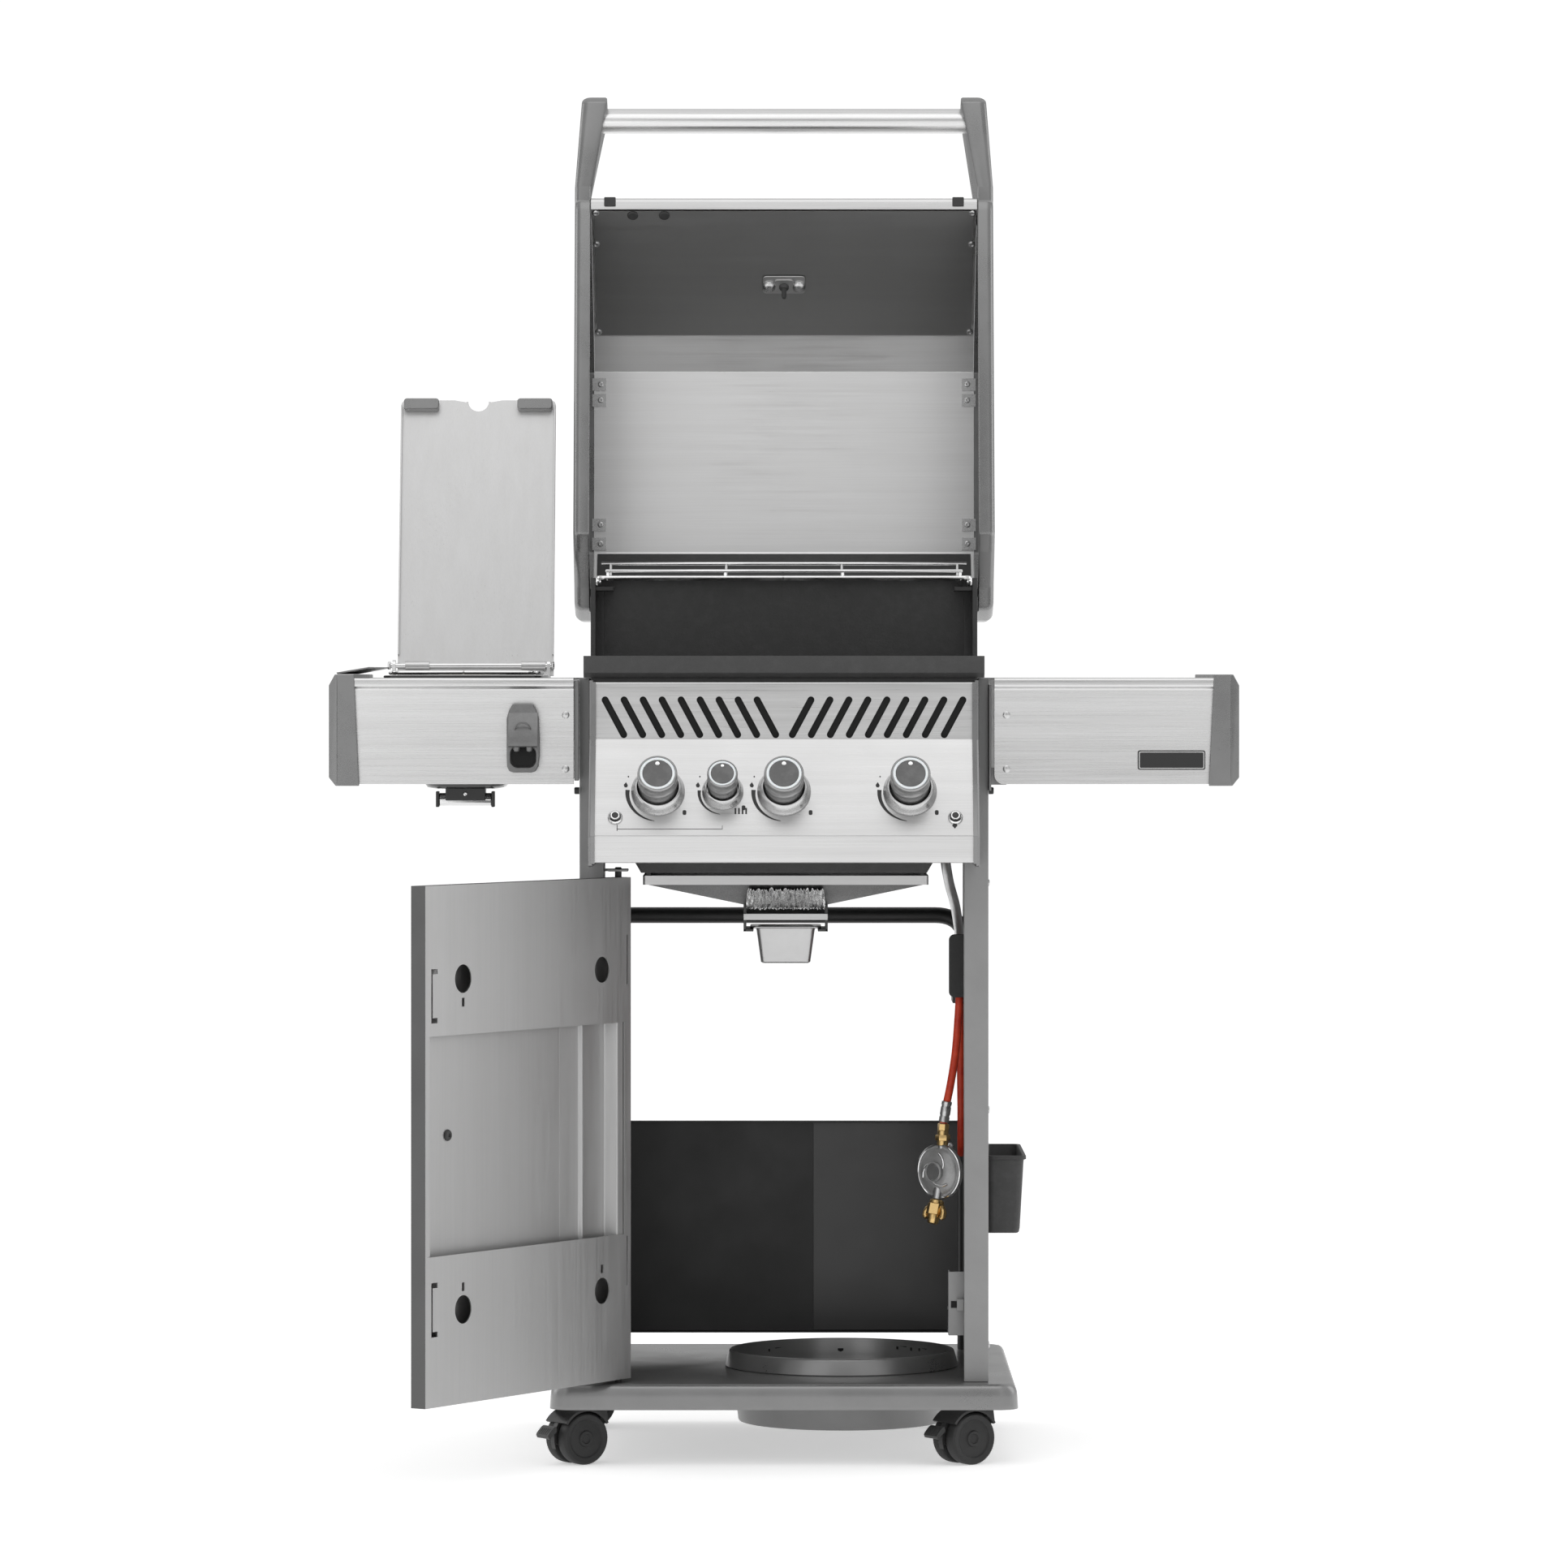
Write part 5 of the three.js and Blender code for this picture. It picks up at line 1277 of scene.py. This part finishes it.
def button(node, body, x, height):
    place = on_band(x, height)
    cap = Build(place).turned([(0, -9), (4, -9), (4, -2), (5.6, -2), (5.6, 4.6), (5.2, 5.6), (4.2, 6.1),
                               (2, 6.2), (0, 6.2)], None, 36)
    cap.make(node + "_cap", body, "black_plastic", "black_plastic", [node], sharp=50)
    collar = Build(place).ring([(3.7, 6), (5.3, 6), (5.2, 6.9), (4.6, 7.2), (3.9, 6.9)], None, 36)
    collar.make(node + "_collar", body, "chrome", sharp=50)
    rim = Build(place).ring([(6.0, 0.2), (8.6, 0.2), (8.8, 1), (8.3, 2.6), (7.0, 3.4), (6.1, 3.0)], None, 40)
    rim.make(node + "_rim", "cart", "chrome", sharp=50)


control_panel()
for knob_row in KNOBS:
    knob_marks(*knob_row[2:])
panel_lines()
for knob_row in KNOBS:
    knob(*knob_row)
button("left_igniter_button", "left_button", -198, 770)
button("right_igniter_button", "right_button", 201, 770)


def manifold():
    refined("gas_manifold", "cart", "plain_steel", 0.4, sharp=50)
    union = Build()
    union.rod((219, 300, 509), (219, 300, 492), 8.6, 6)
    union.rod((219, 300, 493), (219, 300, 470), 7.4, 24)
    union.rod((219, 300, 471), (219, 300, 462.4), 8.6, 6)
    union.make("pipe_union", "cart", "brass", "brass", bevel=0.4)


manifold()


# ---------------------------------------------------------------- shelves and side burner
def shelf_line():
    return filleted([(438, 808), (438, 934), (1.0, 934), (1.0, 923.5), (5.6, 921.5), (5.6, 808)], 4.5, 6)


def left_shelf():
    """Fixed shelf with the opening for the side burner and the hinge rod of its lid."""
    cutter = Build().box(-474, -294, 62, 342, 900, 950)
    top = Build().prism(ribbon(shelf_line(), 2), -512, -249)
    top.make("left_shelf_sheet", "cart", "steel_x", "stainless", ["left_shelf"], bevel=0.4, sharp=40,
             cut=cutter)
    mount = Build().box(-248.6, -243.4, 12, 30, 812, 931).box(-248.6, -243.4, 400, 430, 812, 931)
    mount.make("left_shelf_mount", "cart", "painted_grey", bevel=0.6)
    hinge = Build()
    ear = [(396, 934), (413, 934), (411, 949), *arc(404, 949, 7, 0, 180, 12), (398, 949)]
    for x in (-486, -294):
        hinge.prism(ear, x, x + 4)
    hinge.rod((-489, 404, 949), (-288, 404, 949), 3.2, 20)
    for x in (-490, -287):
        hinge.turned([(0, -2), (4.6, -2), (5, -1.2), (5, 1.2), (4.6, 2), (0, 2)],
                     shift(x, 404, 949) @ turn(90, "Y"), 6)
    hinge.make("burner_lid_rod", "cart", "chrome", "chrome", bevel=0.3, sharp=40)


def right_shelf():
    """Folding shelf with two ribs, and its bracket on the cart."""
    x, z, r = 249, 808, 11
    notch = [(x - 2, z - 2), *reversed(arc(x + r, z + r, r, 180, 270, 8)), (x - 2, z + r)]
    corner = Build().prism(notch, -2, 8, "Y")
    made = Build().prism(ribbon(shelf_line(), 2), 249, 512)
    made.make("right_shelf_sheet", "folding_shelf", "steel_x", "stainless", ["right_shelf"], bevel=0.4,
              sharp=40, cut=corner)
    ribs = Build()
    for y in (40, 398):
        ribs.prism([(251, 810), (292, 810), (318, 932.2), (251, 932.2)], y, y + 2, "Y")
    bore = Build().rod((258, 30, 817), (258, 420, 817), 4.8, 24, 0.01)
    ribs.make("right_shelf_ribs", "folding_shelf", "plain_steel", bevel=0.3, cut=bore)
    refined("right_shelf_bracket", "cart", "painted_grey", 0.5)


def rivets(name, body, x):
    made = Build()
    for z in (890, 826):
        made.turned([(0, -0.4), (4.6, -0.4), (4.4, 0.6), (3, 1.5), (0, 1.9)],
                    shift(x, 5.8, z) @ turn(90, "X"), 28)
    made.make(name, body, "satin_chrome")


def shelf_caps():
    refined("left_shelf_cap", "cart", "cast_grey", 2.0, 3)
    refined("right_shelf_cap", "folding_shelf", "cast_grey", 2.0, 3)
    lip = Build().prism([(-530, 938.2), (-492, 945.2), (-492, 947), (-531, 940.4)], 16, 428, "Y")
    lip.make("left_shelf_lip", "cart", "cast_grey", bevel=0.5)
    rivets("left_shelf_rivets", "cart", -258.6)
    rivets("right_shelf_rivets", "folding_shelf", 263.6)
    pegs = Build()
    for s in (-1, 1):
        pegs.turned([(0, 0), (4.2, 0), (4.2, 5), (3.4, 6), (0, 6)],
                    shift(s * 243, 26, 800) @ turn(s * 90, "Y"), 20)
    pegs.make("shelf_pegs", "cart", "black_plastic")
    badge = Build().prism(rounded_rect(419, 499, 825, 848, 2.5, 5), 3.6, 6.1, "Y")
    badge.make("blank_badge", "folding_shelf", "ink", bevel=0.6)
    outer = rounded_rect(420.2, 497.8, 826.2, 846.8, 2, 5)
    inner = rounded_rect(421.4, 496.6, 827.4, 845.6, 1.4, 5)
    levels = ((outer, 3.6), (outer, 3.2), (inner, 3.2), (inner, 3.6))
    edge = Build().loops([[(x, y, z) for x, z in outline] for outline, y in levels], closed=True)
    edge.make("badge_rim", "folding_shelf", "satin_chrome")


def opener():
    """Bottle opener: plate with a mouth, a hood over it and two teeth."""
    outline = [(-321, 903), (-297, 903), (-293, 896), (-290, 886), (-289, 862), (-289, 842), (-290.6, 829),
               (-294, 823.4), (-299, 822), (-320, 822), (-325, 823.6), (-327.6, 829), (-328, 842),
               (-328, 886), (-325, 896)]
    mouth = Build().prism(rounded_rect(-323.5, -293.5, 828, 853, 9, 8), -30, -5, "Y")
    plate = Build().prism(filleted([*outline, outline[0]], 3, 3)[:-1], -9, 5.4, "Y")
    plate.make("opener_plate", "cart", "cast_light", "cast_grey", ["bottle_opener"], bevel=1.6, segments=3,
               cut=mouth)
    hood = [(-9.0, 893), (-13, 886), (-18.4, 876), (-22.4, 866), (-24, 858), (-23.4, 853.5), (-20, 852),
            (-8, 852), (-8, 893)]
    brow = Build().prism(hood, -326, -291)
    brow.make("opener_hood", "cart", "cast_light", bevel=2.4, segments=4)
    ring = Build().ring([(8.6, 0), (10, 0), (10, 1.6), (9.3, 2.2), (8.6, 1.6)],
                        shift(-308.5, -18, 873) @ turn(118, "X"), 40)
    ring.make("opener_boss", "cart", "cast_light")
    # a near-black plate at the bottom of the mouth: painted shade in the recess
    inside = Build().prism(rounded_rect(-322.5, -294.5, 829, 852, 8, 8), -6.2, -5.2, "Y")
    inside.make("opener_mouth_painted_shade", "cart", "void")
    teeth = Build()
    for x in (-316, -301):
        teeth.turned([(0, 0), (4.2, 0), (4.0, 3), (3, 5.4), (0, 6.4)], shift(x, -12, 852.6) @ turn(180, "X"),
                     20)
    teeth.make("opener_teeth", "cart", "cast_light")


def side_burner():
    """Bowl sunk into the left shelf, burner head with its tile, and the gas pipe below."""
    bowl = Build().loops(rect_rings([
        (-421, -347, 152, 252, 800, 24), (-430, -338, 143, 261, 802, 20), (-434, -334, 138, 266, 808, 16),
        (-472, -296, 64, 340, 930, 10), (-478, -290, 58, 346, 934.4, 12), (-478, -290, 58, 346, 936.2, 12),
        (-476.6, -291.4, 59.4, 344.6, 937, 11), (-471, -297, 65, 339, 936.6, 9),
        (-469.6, -298.4, 66.4, 337.6, 934, 9), (-431, -337, 141, 263, 809, 14),
        (-426, -342, 148, 256, 803.6, 18)]))
    bowl.turned([(0, 801), (14, 801), (14, 868), (0, 868)], shift(-384, 202, 0), 28)
    bowl.make("burner_bowl", "cart", "black_enamel", "black_enamel", ["side_burner"], sharp=40)
    head = Build().loops(rect_rings([
        (-432, -336, 134, 270, 868, 6), (-434, -334, 132, 272, 870, 6), (-434, -334, 132, 272, 883, 6),
        (-433, -335, 133, 271, 884, 6), (-427, -341, 139, 265, 884, 3), (-427, -341, 139, 265, 881, 3)]))
    head.make("burner_head", "cart", "plain_steel", sharp=40)
    Build().box(-426.6, -341.4, 139.4, 264.6, 880.6, 882.6).make("burner_tile", "cart", "ceramic", bevel=0.3)
    clamp = Build().box(-408, -360, 150, 180, 786, 801)
    clamp.box(-420, -416, 156, 174, 778, 797).box(-353, -349, 156, 174, 778, 797)
    clamp.make("burner_clamp", "cart", "black_enamel", bevel=0.8)
    pipe = Build()
    pipe.turned([(0, -31.5), (7.4, -31.5), (8, -30.6), (8, 30.6), (7.4, 31.5), (0, 31.5)],
                shift(-384.5, 165, 787) @ turn(90, "Y"), 40)
    pipe.screw(shift(-384, 149.8, 794) @ turn(90, "X"), 2.6, 1.8)
    pipe.make("burner_pipe", "cart", "chrome")


def side_grate():
    """Wire grate with five bars and two lifting handles."""
    made = Build()
    rim = [(-384, 80.5), (-466.5, 80.5), (-466.5, 334.5), (-301.5, 334.5), (-301.5, 80.5), (-382, 80.5)]
    made.tube(filleted([(x, y, 940.5) for x, y in rim], 9, 6), 2.5, 12)
    for i in range(1, 6):
        x = -466.5 + i * 165 / 6
        made.rod((x, 81, 940.9), (x, 334, 940.9), 2.1, 12)
    made.rod((-466, 206, 939.4), (-302, 206, 939.4), 1.8, 12)
    for x in (-471.4, -296.6):
        made.rod((x, 100, 939.9), (x, 304, 939.9), 2.4, 12)
        for y in (110, 202, 294):
            made.rod((x, y, 939.9), (-466 if x < -400 else -302, y, 939.9), 2.0, 12)
    made.make("grate_wires", "burner_grate", "chrome", "chrome", ["side_burner_grate"], sharp=50)


def burner_lid():
    """Flat lid with a finger notch, two hinge barrels and two feet."""
    x0, x1, front = -480, -286, -344
    middle = (x0 + x1) / 2
    notch = [(middle - 30, front), (middle - 16, front + 2.5), *arc(middle, front + 1.5, 13, 180, 0, 14),
             (middle + 16, front + 2.5), (middle + 30, front)]
    outline = [(x0, 12), *arc(x0 + 7, front + 7, 7, 180, 270, 6), *notch,
               *arc(x1 - 7, front + 7, 7, 270, 360, 6), (x1, 12)]
    plate = Build(BURNER_LID).prism(outline, 4, 6, "Z")
    for a, b in ((x0 + 0.1, x0 + 2), (x1 - 2, x1 - 0.1)):
        plate.box(a, b, front + 8, -14, -2, 5)
    barrel = [*arc(0, 0, 5.6, 90, 360, 20), (5.6, 4.6), (0, 5)]
    for x in (x0 + 10, x1 - 40):
        plate.prism(barrel, x, x + 30)
    plate.make("burner_lid_sheet", "burner_lid", "steel_z", "stainless", ["side_burner_lid"], bevel=0.4,
               sharp=40)
    feet = Build(BURNER_LID)
    for a in (x0 + 4, x1 - 48):
        feet.prism(rounded_rect(a, a + 44, front + 1, front + 15, 4, 5), -10, 4.4, "Z")
    feet.make("burner_lid_feet", "burner_lid", "cast_grey", bevel=1.6, segments=3)


left_shelf()
right_shelf()
shelf_caps()
opener()
side_burner()
side_grate()
burner_lid()


# ---------------------------------------------------------------- grease tray, foil and cup
def grease_tray():
    """Rim, sloping funnel, and the rails below it that hold the cup."""
    rim = Build().loops(rect_rings([
        (-168, 172, 46, 414, 687.6, 4), (-168, 172, 46, 414, 698.4, 4), (-167.4, 171.4, 46.6, 413.4, 699, 4),
        (-165.6, 169.6, 48.4, 411.6, 699, 3), (-165.2, 169.2, 48.8, 411.2, 698.4, 3),
        (-165.2, 169.2, 48.8, 411.2, 687.6, 3)], 5), closed=True)
    rim.make("tray_rim", "tray", "plain_steel", "plain_steel", ["grease_tray"], sharp=40)
    # the funnel takes the near-dark copy of the tray steel: painted shade
    funnel = Build().loops(rect_rings([
        (-42, 46, 186, 274, 658, 3), (-164.8, 168.8, 49.2, 410.8, 688, 3),
        (-164.8, 168.8, 49.2, 410.8, 690.4, 3), (-39, 43, 189, 271, 661, 3)], 5))
    drain = Build().box(-30, 34, 200, 260, 650, 670)
    funnel.make("tray_funnel", "tray", "tray_shade", "plain_steel", bevel=0.3, sharp=30, cut=drain)
    # the rails also take the near-dark copy of the tray steel: painted shade
    rails = Build()
    for limits in ((-49, -46, 182, 280, 627, 660), (-49, -37, 182, 280, 627, 630),
                   (-49, -38, 186, 274, 656, 660), (50, 53, 182, 280, 627, 660), (41, 53, 182, 280, 627, 630),
                   (42, 53, 186, 274, 656, 660)):
        rails.box(*limits)
    rails.make("cup_rails", "tray", "tray_shade", "plain_steel", bevel=0.4)
    Build().box(-49, 53, 178.6, 180.6, 641, 648.6).make("cup_holder_front", "tray", "plain_steel", bevel=0.4)


def foil_point(side, u, v):
    """Point on the crumpled foil: u runs across, v runs up from the cup; side is front (-1) or back (1)."""
    x = -46 + 96 * u
    spot = Vector((x * 0.09, v * 1.4, side * 3.0))
    sway = noise.noise(spot * 1.7)
    pleat = 1.7 * math.sin(x * 1.5 + 5 * sway) + 2.6 * noise.noise(spot * 3.1)
    reach = 46 + 126 * v * 0.96
    return (x * (1 - 0.05 * v) + 0.8 * noise.noise(spot * 6), 230 + side * reach + 0.6 * pleat,
            654.6 + 26.5 * v + pleat * (0.6 + 0.4 * v))


def foil_skirt():
    """Two pleated sheets of foil on the slopes of the tray."""
    foil = Build()
    columns, rows = 96, 14
    for side in (-1, 1):
        verts = [foil_point(side, i / columns, j / rows) for j in range(rows + 1) for i in range(columns + 1)]
        corners = [j * (columns + 1) + i for j in range(rows) for i in range(columns)]
        foil.add(verts, [(a, a + 1, a + columns + 2, a + columns + 1) for a in corners])
    sheet = foil.make("foil_skirt", "tray", "foil", "foil", sharp=70)
    body = sheet.modifiers.new("thickness", "SOLIDIFY")
    body.thickness = 0.0003


def cup():
    """Drip cup of pressed foil with a rolled rim."""
    made = Build().loops(rect_rings([
        (-26, 30, 202, 258, 588, 3), (-28, 32, 200, 260, 589.4, 5), (-33.4, 37.4, 194.6, 265.4, 628.6, 6),
        (-34, 38, 194, 266, 630.2, 6), (-40, 44, 188, 272, 630.6, 7), (-41, 45, 187, 273, 631.2, 8),
        (-41, 45, 187, 273, 632.4, 8), (-40.4, 44.4, 187.6, 272.4, 633, 8), (-34, 38, 194, 266, 632.6, 6),
        (-32.5, 36.5, 195.5, 264.5, 631, 6), (-26.5, 30.5, 201.5, 258.5, 590.6, 4),
        (-24.5, 28.5, 203.5, 256.5, 589.5, 3)], 5))
    made.make("cup_foil", "cup", "foil_smooth", "foil", ["drip_cup"], sharp=40)


grease_tray()
foil_skirt()
cup()
